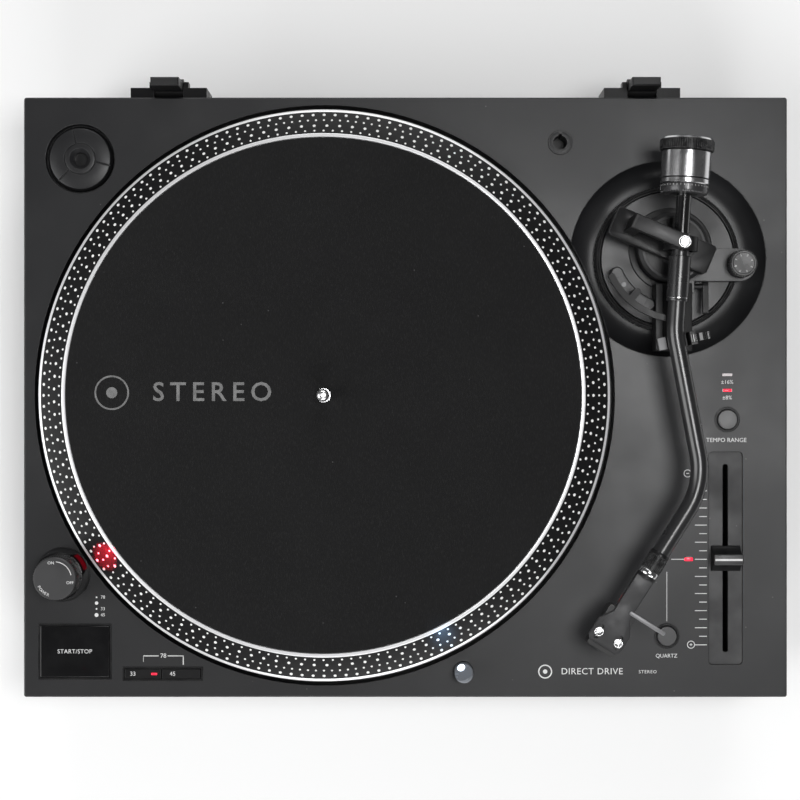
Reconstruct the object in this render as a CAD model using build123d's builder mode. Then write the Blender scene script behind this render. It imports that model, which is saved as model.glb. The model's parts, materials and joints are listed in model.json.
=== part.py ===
"""Direct-drive turntable record player, modelled as the pieces it comes apart into.

The frame: +X to the right, +Y to the back, +Z up, in millimetres. The origin is on the surface that
the feet stand on, in the middle of the whole object's footprint, hinges included.
"""

from build123d import *
import os
from math import cos, radians, sin

os.makedirs("parts", exist_ok=True)

# ---------------------------------------------------------------- driving dimensions
# Plinth
deck_width = 448.0
deck_depth = 352.0
deck_corner = 1.5
deck_thickness = 4.0
wall = 3.0
cabinet_height = 50.0
base_height = 14.0
base_inset = 3.0
base_thickness = 3.0
foot_height = 28.0
hinge_reach = 13.0          # how far the lid hinges stand out behind the cabinet

# Clearances
running_gap = 0.05          # radial, between a shaft and its bearing
sliding_gap = 0.3           # round a button or a knob in its hole
touch_gap = 0.1             # between faces that pass or rest without pressing

# Platter and motor, from the middle of the deck
platter_x = -47.4
platter_y = 1.1
platter_radius = 167.0
platter_gap = 3.3           # between the platter's rim and its well
platter_skirt = 8.0         # rim below the deck
platter_lip = 5.0           # top of the rim's vertical band, above the deck
platter_top = 15.0          # face that the mat lies on, above the deck
platter_land = 17.0         # top of the bright ring round the mat
land_outer = 151.4
land_inner = 149.3
platter_wall = 4.0
well_depth = 14.0
well_floor = 3.0
hub_radius = 16.0
mat_radius = 149.0
mat_thickness = 3.0
spindle_radius = 3.6        # fits a record's centre hole
spindle_length = 14.0       # above the mat
spindle_seat = 3.9          # radius below the mat's top, which centres mat and platter
hub_shaft_radius = 5.0
shaft_radius = 4.0
rotor_radius = 40.0
rotor_thickness = 2.5
magnet_inner = 20.0
magnet_thickness = 5.0
magnet_gap = 1.2
coil_count = 9
coil_outer = 9.0
coil_inner = 3.5
coil_height = 5.0
coil_circle = 29.0
board_thickness = 1.6
motor_frame_radius = 50.0
motor_frame_thickness = 2.0
motor_post_circle = 46.5
motor_post_radius = 3.0
rotor_drop = 4.0            # rotor below the well's underside
bearing_radius = 8.0
bearing_flange_radius = 12.0
bearing_flange = 2.0
bearing_tail = 9.0          # below the motor frame

# Tonearm: pivot, and the tube's run from it, in the arm's own frame
pivot_x = 155.6
pivot_y = 86.7
pivot_height = 38.5         # above the deck
rest_turn = -3.7            # arm on its rest, turned about the pivot from straight ahead
arm_run_1 = 50.7
arm_turn_1 = 14.5
arm_bend_1 = 50.0
arm_run_2 = 86.9
arm_turn_2 = 42.9
arm_bend_2 = 45.0
arm_run_3 = 60.4            # last run, to the front face of the lock collar
tube_radius = 5.0
tube_bore = 4.0
sleeve_wall = 1.2           # round the tube
sleeve_start = 7.0          # clear of the gimbal when the arm is lifted
sleeve_front = 31.3
rear_shaft_radius = 4.2
rear_shaft_start = 6.0      # behind the pivot
rear_shaft_end = 58.5

# Gimbal
gimbal_outer = 9.6
gimbal_inner = 7.2
gimbal_length = 8.0
cross_shaft_radius = 1.5
bridge_gap = 0.6            # between the gimbal ring and the bridge over it
bridge_thickness = 4.0
bridge_reach = 30.0
bridge_width = 8.7
bracket_turn = 157.0        # direction of the bracket's post from the pivot
bar_left = 39.3
bar_right = 21.7
bar_width = 17.3
bar_top = 24.0
bar_thickness = 10.0
drum_radius = 20.5
drum_step = 2.0
lower_post_radius = 5.0
pivot_screw_radius = 3.2
pivot_screw_head = 1.2
pivot_pin_radius = 1.6
pivot_pin_depth = 1.6       # into the gimbal ring

# Tonearm base, in its round dish
dish_x = 154.0
dish_y = 81.4
dish_radius = 57.7
dish_depth = 9.0
dish_floor_radius = 43.4
dish_shell = 3.0
ring_outer = 42.6
ring_width = 3.4
ring_height = 7.0
base_plate_top = -1.5       # above the deck
barrel_radius = 28.0
barrel_depth = 26.0
pod_width = 19.0
pod_top = 7.0
pod_floor = -0.6
anti_skate_x = 195.0
anti_skate_y = 77.3
anti_skate_radius = 8.0
anti_skate_height = 12.0
stem_radius = 2.5
stem_depth = 5.0

# Arm lift
lift_radius = 42.2          # of the curved bar, round the pivot
lift_width = 3.6
lift_thickness = 2.4
lift_from = -4.0            # the bar's ends, in degrees from straight ahead towards the platter
lift_to = 61.0
lift_gap = 0.3              # between the bar and the tube over it
lift_post_angle = 38.0
lift_post_circle = 35.7
lift_post_radius = 2.0
lift_post_depth = 8.0
lift_housing_width = 7.0
lift_housing_top = 12.0
lift_housing_from = 20.0
lift_housing_to = 62.5
lever_x = 173.0
lever_y = 64.5
lever_height = 9.0
lever_shaft_radius = 1.6
lever_shaft_length = 12.0
lever_length = 16.0
lever_width = 3.2
lever_hub_radius = 2.8

# Arm rest
rest_block_left = 145.0
rest_block_right = 166.0
rest_block_back = 66.0
rest_block_front = 27.0
rest_block_top = 14.0
rest_distance = 4.5         # along the tube's second run
rest_length = 7.5
rest_gap = 0.3              # under the tube
rest_shelf = 3.0
rest_reach_left = 10.0
rest_reach_right = 11.5
rest_post_width = 9.0
clip_pin_x = 9.6            # from the tube's axis
clip_pin_height = 0.5
clip_pin_radius = 1.2
clip_eye_radius = 2.4
clip_gap = 0.8
clip_thickness = 1.6
clip_open = 96.0

# Counterweight
weight_start = 33.2         # behind the pivot
weight_length = 26.4
weight_radius = 13.85
weight_ring_radius = 15.35
weight_ring_length = 7.5
weight_sleeve_radius = 7.6
dial_radius = 13.5
dial_length = 5.0

# Lock collar, headshell and cartridge
collar_wall = 1.0           # round the tube
collar_length = 14.8
neck_length = 10.0
shell_flange = 2.0
flange_step = 0.4           # headshell's flange inside the collar's rim
shell_thickness = 2.4
shell_stem_width = 10.6
shell_nose_width = 21.0
shell_waist = 27.0          # where the shell starts to widen, from the collar
shell_shoulder = 35.0
shell_length = 47.7
screw_line = 41.5           # cartridge screws, from the collar's face
screw_spacing = 12.7
slot_width = 2.8
slot_length = 9.0
cartridge_screw_radius = 1.25
cartridge_head_radius = 2.5
cartridge_head_height = 1.6
cartridge_length = 26.0
cartridge_width = 17.0
cartridge_height = 12.0
cartridge_ahead = 9.0      # cartridge's front face, from the screws
stylus_ahead = 9.0         # tip, from the screws
stylus_guard_width = 9.0
stylus_guard_length = 16.0
stylus_guard_height = 4.6
finger_length = 23.6
finger_width = 2.4
finger_thickness = 1.0
finger_line = 23.2          # from the collar's face

# Controls on the deck, from its middle
tower_x = -201.0
tower_y = -103.9
tower_radius = 15.3
tower_top_radius = 14.0
tower_height = 15.0
window_turn = 34.0
knob_radius = 13.0
knob_height = 11.0
start_x = -194.0
start_y = -149.2
start_frame_width = 43.0
start_frame_depth = 32.6
speed_x = -142.4
speed_y = -162.3
speed_frame_width = 47.0
speed_frame_depth = 8.2
frame_edge = 1.0
button_proud = 0.6
button_body = 9.0
quartz_x = 153.4
quartz_y = -140.1
range_x = 188.9
range_y = -13.1
round_button_radius = 5.9
round_button_ring = 7.3
round_button_proud = 1.6
slider_x = 187.9
slider_y = -94.5
slider_plate_width = 20.0
slider_plate_length = 125.0
slider_plate_drop = 1.0
slider_plate_thickness = 1.5
slider_slot_width = 3.2
slider_slot_length = 110.5
knob_depth = 15.0
knob_width = 17.0
knob_rise = 12.0
target_x = 34.0
target_y = -160.6
target_radius = 5.4
target_rise = 16.0
target_depth = 26.0
target_slope = 45.0         # of the lens, facing the platter
adapter_x = -190.9
adapter_y = 140.0
adapter_radius = 19.05
adapter_pocket = 20.4
adapter_height = 7.0
adapter_pocket_depth = 6.0
stow_x = 90.8
stow_y = 149.5
stow_bore = 4.1
stow_flange = 7.0
stow_depth = 16.0
quartz_lamp_x = 166.2
range_lamp_y = (4.1, 13.2)
lamp_length = 6.0
lamp_width = 1.8

# Lid hinges
hinge_x = 140.0
holder_width = 45.0
holder_depth = 7.0
holder_top = -8.0
holder_height = 30.0
hinge_barrel_radius = 5.5
holder_notch = 13.0
cheek_thickness = 3.0
hinge_width = 16.5
hinge_tongue = 5.0
hinge_tongue_top = 12.0
hinge_pin_radius = 1.6

# Back panel
panel_x = 50.0
panel_width = 110.0
panel_sill = 3.0            # wall left under the panel, which reaches up to the well
panel_recess = 13.0
panel_sheet = 1.5
jack_radius = 4.15
jack_length = 9.0
jack_bore = 1.7
jack_spacing = 16.0
inlet_x = -60.0
inlet_width = 27.0
inlet_height = 20.0
inlet_depth = 18.0

# Feet and fasteners
foot_x = 182.0
foot_y = 134.0
foot_radius = 27.0
foot_waist = 23.0
foot_stud_radius = 4.0
foot_stud_length = 12.0
foot_boss_wall = 5.0
cover_screw_radius = 1.6
cover_screw_head = 3.2
cover_screw_head_height = 2.6
cover_screw_recess = 6.0    # counterbore in the cover
cover_screw_grip = 11.0     # thread in the cabinet's boss
pilot_depth = 14.0

# ---------------------------------------------------------------- places
deck_y = -hinge_reach / 2
base_z = foot_height
split_z = base_z + base_height
deck_z = split_z + cabinet_height
back_y = deck_depth / 2


def deck_plane(x=0.0, y=0.0, height=0.0, turn=0.0):
    """A level plane at a point measured from the middle of the deck, turned about the vertical."""
    origin = (x, deck_y + y, deck_z + height)
    return Plane(origin=origin, x_dir=(cos(radians(turn)), sin(radians(turn)), 0), z_dir=(0, 0, 1))


def arm_heading(turn):
    """A level direction in the arm's rest position: 0 is straight ahead along the arm."""
    angle = radians(rest_turn + turn)
    return Vector(sin(angle), -cos(angle), 0)


def write(piece, name):
    """Labels a finished piece and writes it as one STEP file."""
    piece.label = name
    export_step(piece, f"parts/{name}.step")


arm = deck_plane(pivot_x, pivot_y, pivot_height, rest_turn)
ahead = arm_heading(0)
across = Vector(-ahead.Y, ahead.X, 0)
run_2 = arm_heading(arm_turn_1)
run_3 = arm_heading(arm_turn_1 - arm_turn_2)
pivot = Vector(*arm.origin)
bend_1 = pivot + ahead * arm_run_1
bend_2 = bend_1 + run_2 * arm_run_2
collar_face = bend_2 + run_3 * arm_run_3
shell = Plane(origin=collar_face, x_dir=run_3, z_dir=(0, 0, 1))
shell_axis = Plane(origin=collar_face, x_dir=(0, 0, 1), z_dir=run_3)
back_axis = Plane(origin=pivot, x_dir=(0, 0, 1), z_dir=-ahead)
side_axis = Plane(origin=pivot, x_dir=(0, 0, 1), z_dir=across)
well_radius = platter_radius + platter_gap
well_underside = deck_z - well_depth - well_floor
panel_height = well_underside - split_z - panel_sill
panel_z = split_z + panel_sill + panel_height / 2
sleeve_radius = tube_radius + sleeve_wall
collar_radius = tube_radius + collar_wall
shell_flange_radius = collar_radius - flange_step
neck_radius = tube_bore - sliding_gap
platter_axis = deck_plane(platter_x, platter_y)
dish_axis = deck_plane(dish_x, dish_y)
mat_top = platter_top + mat_thickness

rotor_z = well_underside - rotor_drop - rotor_thickness
magnet_z = rotor_z - magnet_thickness
coil_z = magnet_z - magnet_gap - coil_height
stator_z = coil_z - board_thickness
motor_z = stator_z - motor_frame_thickness


def motor_plane(z):
    """A level plane on the platter's axis at a height above the floor."""
    return platter_axis.offset(z - deck_z)


# ---------------------------------------------------------------- plinth
cover_screw_spots = [
    (-212, 163), (-110, 160), (110, 160), (212, 163), (212, 0),
    (212, -163), (110, -160), (-110, -160), (-212, -120), (-212, 0),
]
foot_spots = [(x, y) for x in (-foot_x, foot_x) for y in (-foot_y, foot_y)]
screw_boss_radius = 5.0

with BuildPart() as top_cabinet:
    with BuildSketch(deck_plane(height=-cabinet_height)):
        RectangleRounded(deck_width, deck_depth, deck_corner)
    extrude(amount=cabinet_height)
    upper_edges = top_cabinet.edges().group_by(Axis.Z)[-1]
    chamfer(upper_edges, 0.8)
    with BuildSketch(deck_plane(height=-cabinet_height)):
        Rectangle(deck_width - 2 * wall, deck_depth - 2 * wall)
    extrude(amount=cabinet_height - deck_thickness, mode=Mode.SUBTRACT)
    # Screw bosses reach up to the deck.
    with BuildSketch(deck_plane(height=-cabinet_height)):
        with Locations(*cover_screw_spots):
            Circle(screw_boss_radius)
    extrude(amount=cabinet_height - deck_thickness)
    # The platter's well and the arm's dish hang below the deck.
    with BuildSketch(platter_axis.offset(-well_depth - well_floor)):
        Circle(well_radius + wall)
    extrude(amount=well_depth + well_floor)
    with BuildSketch(dish_axis.offset(-dish_depth - dish_shell)):
        Circle(dish_radius + dish_shell)
    extrude(amount=dish_depth + dish_shell)
    with BuildSketch(platter_axis.offset(-well_depth)):
        Circle(well_radius)
    extrude(amount=well_depth, mode=Mode.SUBTRACT)
    with BuildSketch(Plane(origin=dish_axis.origin, x_dir=(1, 0, 0), z_dir=(0, -1, 0))):
        with BuildLine():
            rim = (dish_radius, 0)
            bowl = (dish_floor_radius, -dish_depth)
            ThreePointArc(rim, (dish_radius - 5.5, -dish_depth * 0.7), bowl)
            Polyline(bowl, (0, -dish_depth), (0, 0), rim)
        make_face()
    revolve(axis=Axis(dish_axis.origin, (0, 0, 1)), mode=Mode.SUBTRACT)
    # The pocket for the adapter.
    with BuildSketch(deck_plane(adapter_x, adapter_y, -adapter_pocket_depth - wall)):
        Circle(adapter_pocket + wall)
    extrude(amount=adapter_pocket_depth + wall)
    with BuildSketch(deck_plane(adapter_x, adapter_y, -adapter_pocket_depth)):
        Circle(adapter_pocket)
    extrude(amount=adapter_pocket_depth, mode=Mode.SUBTRACT)
    # Openings through the deck, the well's floor and the dish.
    with BuildSketch(deck_plane(height=-well_depth - well_floor)):
        with Locations((platter_x, platter_y)):
            Circle(hub_radius + 2)
        with Locations((dish_x, dish_y)):
            Circle(barrel_radius + sliding_gap)
    extrude(amount=well_depth + well_floor, mode=Mode.SUBTRACT)
    with BuildSketch(deck_plane(height=-well_depth)):
        with Locations((start_x, start_y)):
            Rectangle(start_frame_width, start_frame_depth)
        with Locations((speed_x, speed_y)):
            Rectangle(speed_frame_width, speed_frame_depth)
        with Locations((quartz_x, quartz_y), (range_x, range_y)):
            Circle(round_button_radius + sliding_gap)
        with Locations((slider_x, slider_y)):
            RectangleRounded(slider_slot_width + 4, slider_slot_length + 4, 2)
        with Locations((target_x, target_y)):
            Circle(target_radius + sliding_gap)
        with Locations((stow_x, stow_y)):
            Circle(stow_bore + 2)
        with Locations((tower_x, tower_y)):
            Circle(tower_radius - 4)
        with Locations((quartz_lamp_x, slider_y)):
            SlotOverall(4.6, 2.6)
        with Locations(*[(range_x, y) for y in range_lamp_y]):
            Rectangle(lamp_length, lamp_width)
    extrude(amount=well_depth, mode=Mode.SUBTRACT)
    # Shallow seats for the slider's plate, the round buttons' rings and the stow socket's flange.
    with BuildSketch(deck_plane(height=-slider_plate_drop - slider_plate_thickness)):
        with Locations((slider_x, slider_y)):
            RectangleRounded(slider_plate_width, slider_plate_length, 2.5)
    extrude(amount=slider_plate_drop + slider_plate_thickness, mode=Mode.SUBTRACT)
    with BuildSketch(deck_plane(height=-1.2)):
        with Locations((quartz_x, quartz_y), (range_x, range_y)):
            Circle(round_button_ring)
        with Locations((stow_x, stow_y)):
            Circle(stow_flange + 0.1)
    extrude(amount=1.2, mode=Mode.SUBTRACT)
    # Openings in the back wall for the signal panel and the mains inlet.
    with BuildSketch(Plane(origin=(0, deck_y + back_y - wall, 0), x_dir=(1, 0, 0), z_dir=(0, 1, 0))):
        with Locations((panel_x, -panel_z)):
            Rectangle(panel_width, panel_height)
        with Locations((inlet_x, -panel_z)):
            Rectangle(inlet_width, inlet_height)
    extrude(amount=wall, mode=Mode.SUBTRACT)
    # Pilot holes in the screw bosses.
    with BuildSketch(deck_plane(height=-cabinet_height)):
        with Locations(*cover_screw_spots):
            Circle(cover_screw_radius)
    extrude(amount=pilot_depth, mode=Mode.SUBTRACT)
write(top_cabinet.part, "top_cabinet")

with BuildPart() as bottom_cover:
    with BuildSketch(deck_plane(height=base_z - deck_z)):
        RectangleRounded(deck_width - 2 * base_inset, deck_depth - 2 * base_inset, deck_corner)
    extrude(amount=base_height)
    lower_edges = bottom_cover.edges().group_by(Axis.Z)[0]
    chamfer(lower_edges, 1.5)
    with BuildSketch(deck_plane(height=base_z + base_thickness - deck_z)):
        inside = 2 * (base_inset + wall)
        Rectangle(deck_width - inside, deck_depth - inside)
    extrude(amount=base_height - base_thickness, mode=Mode.SUBTRACT)
    with BuildSketch(deck_plane(height=base_z + base_thickness - deck_z)):
        with Locations(*cover_screw_spots):
            Circle(screw_boss_radius)
        with Locations(*foot_spots):
            Circle(foot_stud_radius + foot_boss_wall)
    extrude(amount=base_height - base_thickness)
    with BuildSketch(deck_plane(height=base_z - deck_z)):
        with Locations(*cover_screw_spots):
            Circle(cover_screw_radius + 0.3)
        with Locations(*foot_spots):
            Circle(foot_stud_radius + sliding_gap)
    extrude(amount=base_height, mode=Mode.SUBTRACT)
    with BuildSketch(deck_plane(height=base_z - deck_z)):
        with Locations(*cover_screw_spots):
            Circle(cover_screw_head + 0.4)
    extrude(amount=cover_screw_recess, mode=Mode.SUBTRACT)
write(bottom_cover.part, "bottom_cover")

screw_head_z = base_z + cover_screw_recess - cover_screw_head_height
with BuildPart() as cover_screws:
    with BuildSketch(deck_plane(height=base_z + cover_screw_recess - deck_z)):
        with Locations(*cover_screw_spots):
            Circle(cover_screw_radius - touch_gap)
    extrude(amount=base_height - cover_screw_recess + cover_screw_grip)
    with BuildSketch(deck_plane(height=screw_head_z - deck_z)):
        with Locations(*cover_screw_spots):
            Circle(cover_screw_head)
    extrude(amount=cover_screw_head_height)
    with BuildSketch(deck_plane(height=screw_head_z - deck_z)):
        with Locations(*cover_screw_spots):
            Rectangle(4, 0.8)
            Rectangle(0.8, 4)
    extrude(amount=1.2, mode=Mode.SUBTRACT)
write(cover_screws.part, "cover_screws")

# Four feet that screw in and out; the footprint is the same for all.
foot_names = ("front_left_foot", "back_left_foot", "front_right_foot", "back_right_foot")
for foot_name, (foot_at_x, foot_at_y) in zip(foot_names, foot_spots):
    foot_plane = Plane(origin=(foot_at_x, deck_y + foot_at_y, 0), x_dir=(1, 0, 0), z_dir=(0, -1, 0))
    with BuildPart() as foot:
        with BuildSketch(foot_plane):
            with BuildLine():
                Polyline(
                    (0, 0),
                    (foot_radius - 3, 0),
                    (foot_radius - 1, 2),
                    (foot_radius - 1, 6),
                    (foot_radius - 3, 7.5),
                    (foot_radius, 9),
                    (foot_radius, 17),
                    (foot_waist, 21),
                    (foot_waist, foot_height),
                    (foot_stud_radius, foot_height),
                    (foot_stud_radius, foot_height + foot_stud_length),
                    (0, foot_height + foot_stud_length),
                    close=True,
                )
            make_face()
        revolve(axis=Axis((foot_at_x, deck_y + foot_at_y, 0), (0, 0, 1)))
    write(foot.part, foot_name)

# ---------------------------------------------------------------- motor and platter
motor_post_spots = [(motor_post_circle * cos(radians(a)), motor_post_circle * sin(radians(a)))
                    for a in (30, 150, 270)]

with BuildPart() as motor_frame:
    with BuildSketch(motor_plane(motor_z)):
        Circle(motor_frame_radius)
    extrude(amount=motor_frame_thickness)
    with BuildSketch(motor_plane(motor_z)):
        with Locations(*motor_post_spots):
            Circle(motor_post_radius)
    extrude(amount=well_underside - motor_z)
    # The spindle's bearing, pressed into the frame from below.
    with BuildSketch(motor_plane(motor_z - bearing_tail)):
        Circle(bearing_radius)
    extrude(amount=magnet_z - 1 - (motor_z - bearing_tail))
    with BuildSketch(motor_plane(motor_z - bearing_flange)):
        Circle(bearing_flange_radius)
    extrude(amount=bearing_flange)
    with BuildSketch(motor_plane(motor_z - bearing_tail + 3)):
        Circle(shaft_radius + running_gap)
    extrude(amount=60, mode=Mode.SUBTRACT)
write(motor_frame.part, "motor_frame")

with BuildPart() as stator:
    with BuildSketch(motor_plane(stator_z)):
        Circle(motor_frame_radius - 8)
        Circle(bearing_radius + 2, mode=Mode.SUBTRACT)
    extrude(amount=board_thickness)
    with BuildSketch(motor_plane(coil_z)):
        with PolarLocations(coil_circle, coil_count):
            Circle(coil_outer)
            Circle(coil_inner, mode=Mode.SUBTRACT)
    extrude(amount=coil_height)
write(stator.part, "stator")

with BuildPart() as rotor:
    with BuildSketch(motor_plane(rotor_z)):
        Circle(rotor_radius)
    extrude(amount=rotor_thickness)
    with BuildSketch(motor_plane(magnet_z)):
        Circle(rotor_radius - 1)
        Circle(magnet_inner, mode=Mode.SUBTRACT)
    extrude(amount=magnet_thickness)
    with BuildSketch(motor_plane(rotor_z)):
        Circle(shaft_radius)
    extrude(amount=rotor_thickness, mode=Mode.SUBTRACT)
write(rotor.part, "rotor")

spindle_foot = motor_z - bearing_tail + 3
with BuildPart() as spindle:
    with BuildSketch(Plane(origin=motor_plane(0).origin, x_dir=(1, 0, 0), z_dir=(0, -1, 0))):
        spindle_tip = deck_z + mat_top + spindle_length
        hub_base = rotor_z + rotor_thickness
        hub_top = deck_z + platter_top
        with BuildLine():
            Polyline(
                (0, spindle_foot),
                (shaft_radius, spindle_foot),
                (shaft_radius, hub_base),
                (hub_shaft_radius, hub_base),
                (hub_shaft_radius, hub_top - 1),
                (spindle_seat, hub_top - 1),
                (spindle_seat, spindle_tip - spindle_length),
                (spindle_radius, spindle_tip - spindle_length),
                (spindle_radius, spindle_tip),
                (0, spindle_tip),
                close=True,
            )
        make_face()
    revolve(axis=Axis(motor_plane(0).origin, (0, 0, 1)))
    fillet(spindle.edges().group_by(Axis.Z)[-1], spindle_radius * 0.7)
write(spindle.part, "spindle")

with BuildPart() as platter:
    with BuildSketch(Plane(origin=platter_axis.origin, x_dir=(1, 0, 0), z_dir=(0, -1, 0))):
        with BuildLine():
            Polyline(
                (hub_shaft_radius, platter_top - 1),
                (spindle_seat + 0.4, platter_top - 1),
                (spindle_seat + 0.4, platter_top),
                (land_inner, platter_top),
                (land_inner, platter_land),
                (land_outer, platter_land),
                (platter_radius - 1.6, platter_lip + 0.6),
                (platter_radius, platter_lip),
                (platter_radius, -platter_skirt),
                (platter_radius - platter_wall, -platter_skirt),
                (platter_radius - platter_wall, platter_lip - 1),
                (land_outer - 3, platter_top - platter_wall),
                (hub_radius, platter_top - platter_wall),
                (hub_radius, -well_depth + 2),
                (hub_shaft_radius, -well_depth + 2),
                close=True,
            )
        make_face()
    revolve(axis=Axis(platter_axis.origin, (0, 0, 1)))
write(platter.part, "platter")

with BuildPart() as slipmat:
    with BuildSketch(platter_axis.offset(platter_top + touch_gap)):
        Circle(mat_radius)
        Circle(spindle_seat + sliding_gap, mode=Mode.SUBTRACT)
    extrude(amount=mat_thickness - touch_gap)
write(slipmat.part, "slipmat")

# ---------------------------------------------------------------- electrics inside the base
board_z = base_z + base_thickness + 4
with BuildPart() as main_board:
    with BuildSketch(deck_plane(60, -90, board_z - deck_z)):
        Rectangle(130, 90)
    extrude(amount=board_thickness)
    with BuildSketch(deck_plane(60, -90, board_z + board_thickness - deck_z)):
        with GridLocations(34, 26, 3, 2):
            Rectangle(16, 12)
    extrude(amount=3)
    with BuildSketch(deck_plane(60, -90, board_z + board_thickness - deck_z)):
        with Locations((-56, 34), (-56, 20), (-56, -34), (56, 34), (56, -34)):
            Circle(5)
    extrude(amount=14)
    with BuildSketch(deck_plane(60, -90, base_z + base_thickness - deck_z)):
        with GridLocations(118, 78, 2, 2):
            Circle(3)
    extrude(amount=4)
write(main_board.part, "main_board")

with BuildPart() as power_transformer:
    with BuildSketch(deck_plane(-120, 120, base_z + base_thickness - deck_z)):
        Rectangle(62, 50)
    extrude(amount=3)
    with BuildSketch(deck_plane(-120, 120, base_z + base_thickness + 3 - deck_z)):
        Rectangle(50, 42)
    extrude(amount=30)
    fillet(power_transformer.edges().group_by(Axis.Z)[-1], 3)
write(power_transformer.part, "power_transformer")

# ---------------------------------------------------------------- back panel
panel_face = deck_y + back_y
back_frame = Plane(origin=(0, panel_face, 0), x_dir=(-1, 0, 0), z_dir=(0, 1, 0))
panel_floor = back_frame.offset(-panel_recess)

with BuildPart() as rear_panel:
    with BuildSketch(back_frame.offset(-panel_recess - panel_sheet)):
        with Locations((-panel_x, panel_z)):
            Rectangle(panel_width - 2 * touch_gap, panel_height - 2 * touch_gap)
    extrude(amount=panel_recess + panel_sheet)
    with BuildSketch(panel_floor):
        with Locations((-panel_x, panel_z)):
            Rectangle(panel_width - 2 * panel_sheet, panel_height - 2 * panel_sheet)
    extrude(amount=panel_recess, mode=Mode.SUBTRACT)
write(rear_panel.part, "rear_panel")

jack_spots = [(-panel_x + (n - 0.5) * jack_spacing, panel_z) for n in range(2)]
ground_spot = (-panel_x + 34, panel_z)
with BuildPart() as rear_sockets:
    with BuildSketch(panel_floor):
        with Locations(*jack_spots):
            Circle(jack_radius)
            Circle(jack_bore, mode=Mode.SUBTRACT)
    extrude(amount=jack_length)
    with BuildSketch(panel_floor):
        with Locations(*jack_spots):
            Circle(jack_bore + 1)
    extrude(amount=1)
    with BuildSketch(panel_floor):
        with Locations(ground_spot):
            Circle(2)
    extrude(amount=10)
    with BuildSketch(panel_floor.offset(3)):
        with Locations(ground_spot):
            Circle(4.5)
    extrude(amount=6)
write(rear_sockets.part, "rear_sockets")

inlet_pins = [(-inlet_x, panel_z + 2.5), (-inlet_x - 7, panel_z - 2.5), (-inlet_x + 7, panel_z - 2.5)]
with BuildPart() as mains_inlet:
    with BuildSketch(back_frame.offset(-inlet_depth)):
        with Locations((-inlet_x, panel_z)):
            Rectangle(inlet_width - 2 * touch_gap, inlet_height - 2 * touch_gap)
    extrude(amount=inlet_depth)
    with BuildSketch(back_frame.offset(-inlet_depth + 2)):
        with Locations((-inlet_x, panel_z)):
            Rectangle(inlet_width - 3, inlet_height - 3)
    extrude(amount=inlet_depth - 2, mode=Mode.SUBTRACT)
    with BuildSketch(back_frame.offset(-inlet_depth + 2)):
        with Locations(*inlet_pins):
            Rectangle(2, 5)
    extrude(amount=11)
write(mains_inlet.part, "mains_inlet")

# ---------------------------------------------------------------- lid hinges
hinge_axis_y = back_y + hinge_reach - hinge_barrel_radius
hinge_axis_height = holder_top - hinge_barrel_radius
with BuildPart() as hinge_holders:
    for hinge_at_x in (-hinge_x, hinge_x):
        with BuildSketch(deck_plane(hinge_at_x, back_y + holder_depth / 2, holder_top - holder_height)):
            Rectangle(holder_width, holder_depth)
        extrude(amount=holder_height)
        # The moving leaf turns in a notch, on a pin between two cheeks.
        with BuildSketch(deck_plane(hinge_at_x, back_y + holder_depth / 2, holder_top - holder_notch)):
            Rectangle(hinge_width + 2 * sliding_gap, holder_depth)
        extrude(amount=holder_notch, mode=Mode.SUBTRACT)
        cheek_shift = hinge_width / 2 + sliding_gap + cheek_thickness / 2
        cheek_reach = hinge_axis_y + 2 * hinge_pin_radius - back_y
        for side in (-1, 1):
            cheek_x = hinge_at_x + side * cheek_shift
            with BuildSketch(deck_plane(cheek_x, back_y + cheek_reach / 2, hinge_axis_height - 4)):
                Rectangle(cheek_thickness, cheek_reach)
            extrude(amount=8)
        pin_start = (hinge_at_x - cheek_shift, deck_y + hinge_axis_y, deck_z + hinge_axis_height)
        with BuildSketch(Plane(origin=pin_start, x_dir=(0, 1, 0), z_dir=(1, 0, 0))):
            Circle(hinge_pin_radius)
        extrude(amount=2 * cheek_shift)
write(hinge_holders.part, "hinge_holders")

for leaf_name, leaf_x in (("left_lid_hinge", -hinge_x), ("right_lid_hinge", hinge_x)):
    leaf_start = (leaf_x - hinge_width / 2, deck_y + hinge_axis_y, deck_z + hinge_axis_height)
    with BuildPart() as lid_hinge:
        with BuildSketch(Plane(origin=leaf_start, x_dir=(0, 1, 0), z_dir=(1, 0, 0))):
            Circle(hinge_barrel_radius)
        extrude(amount=hinge_width)
        with BuildSketch(deck_plane(leaf_x, hinge_axis_y, hinge_axis_height)):
            Rectangle(hinge_width, hinge_tongue)
        extrude(amount=hinge_tongue_top - hinge_axis_height)
        chamfer(lid_hinge.edges().group_by(Axis.Z)[-1], 0.8)
        with BuildSketch(Plane(origin=leaf_start, x_dir=(0, 1, 0), z_dir=(1, 0, 0))):
            Circle(hinge_pin_radius + running_gap)
        extrude(amount=hinge_width, mode=Mode.SUBTRACT)
    write(lid_hinge.part, leaf_name)

# ---------------------------------------------------------------- controls on the deck
button_underside = -deck_thickness - button_body
tray_floor = 2.0
speed_split = speed_x - 0.7

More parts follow.
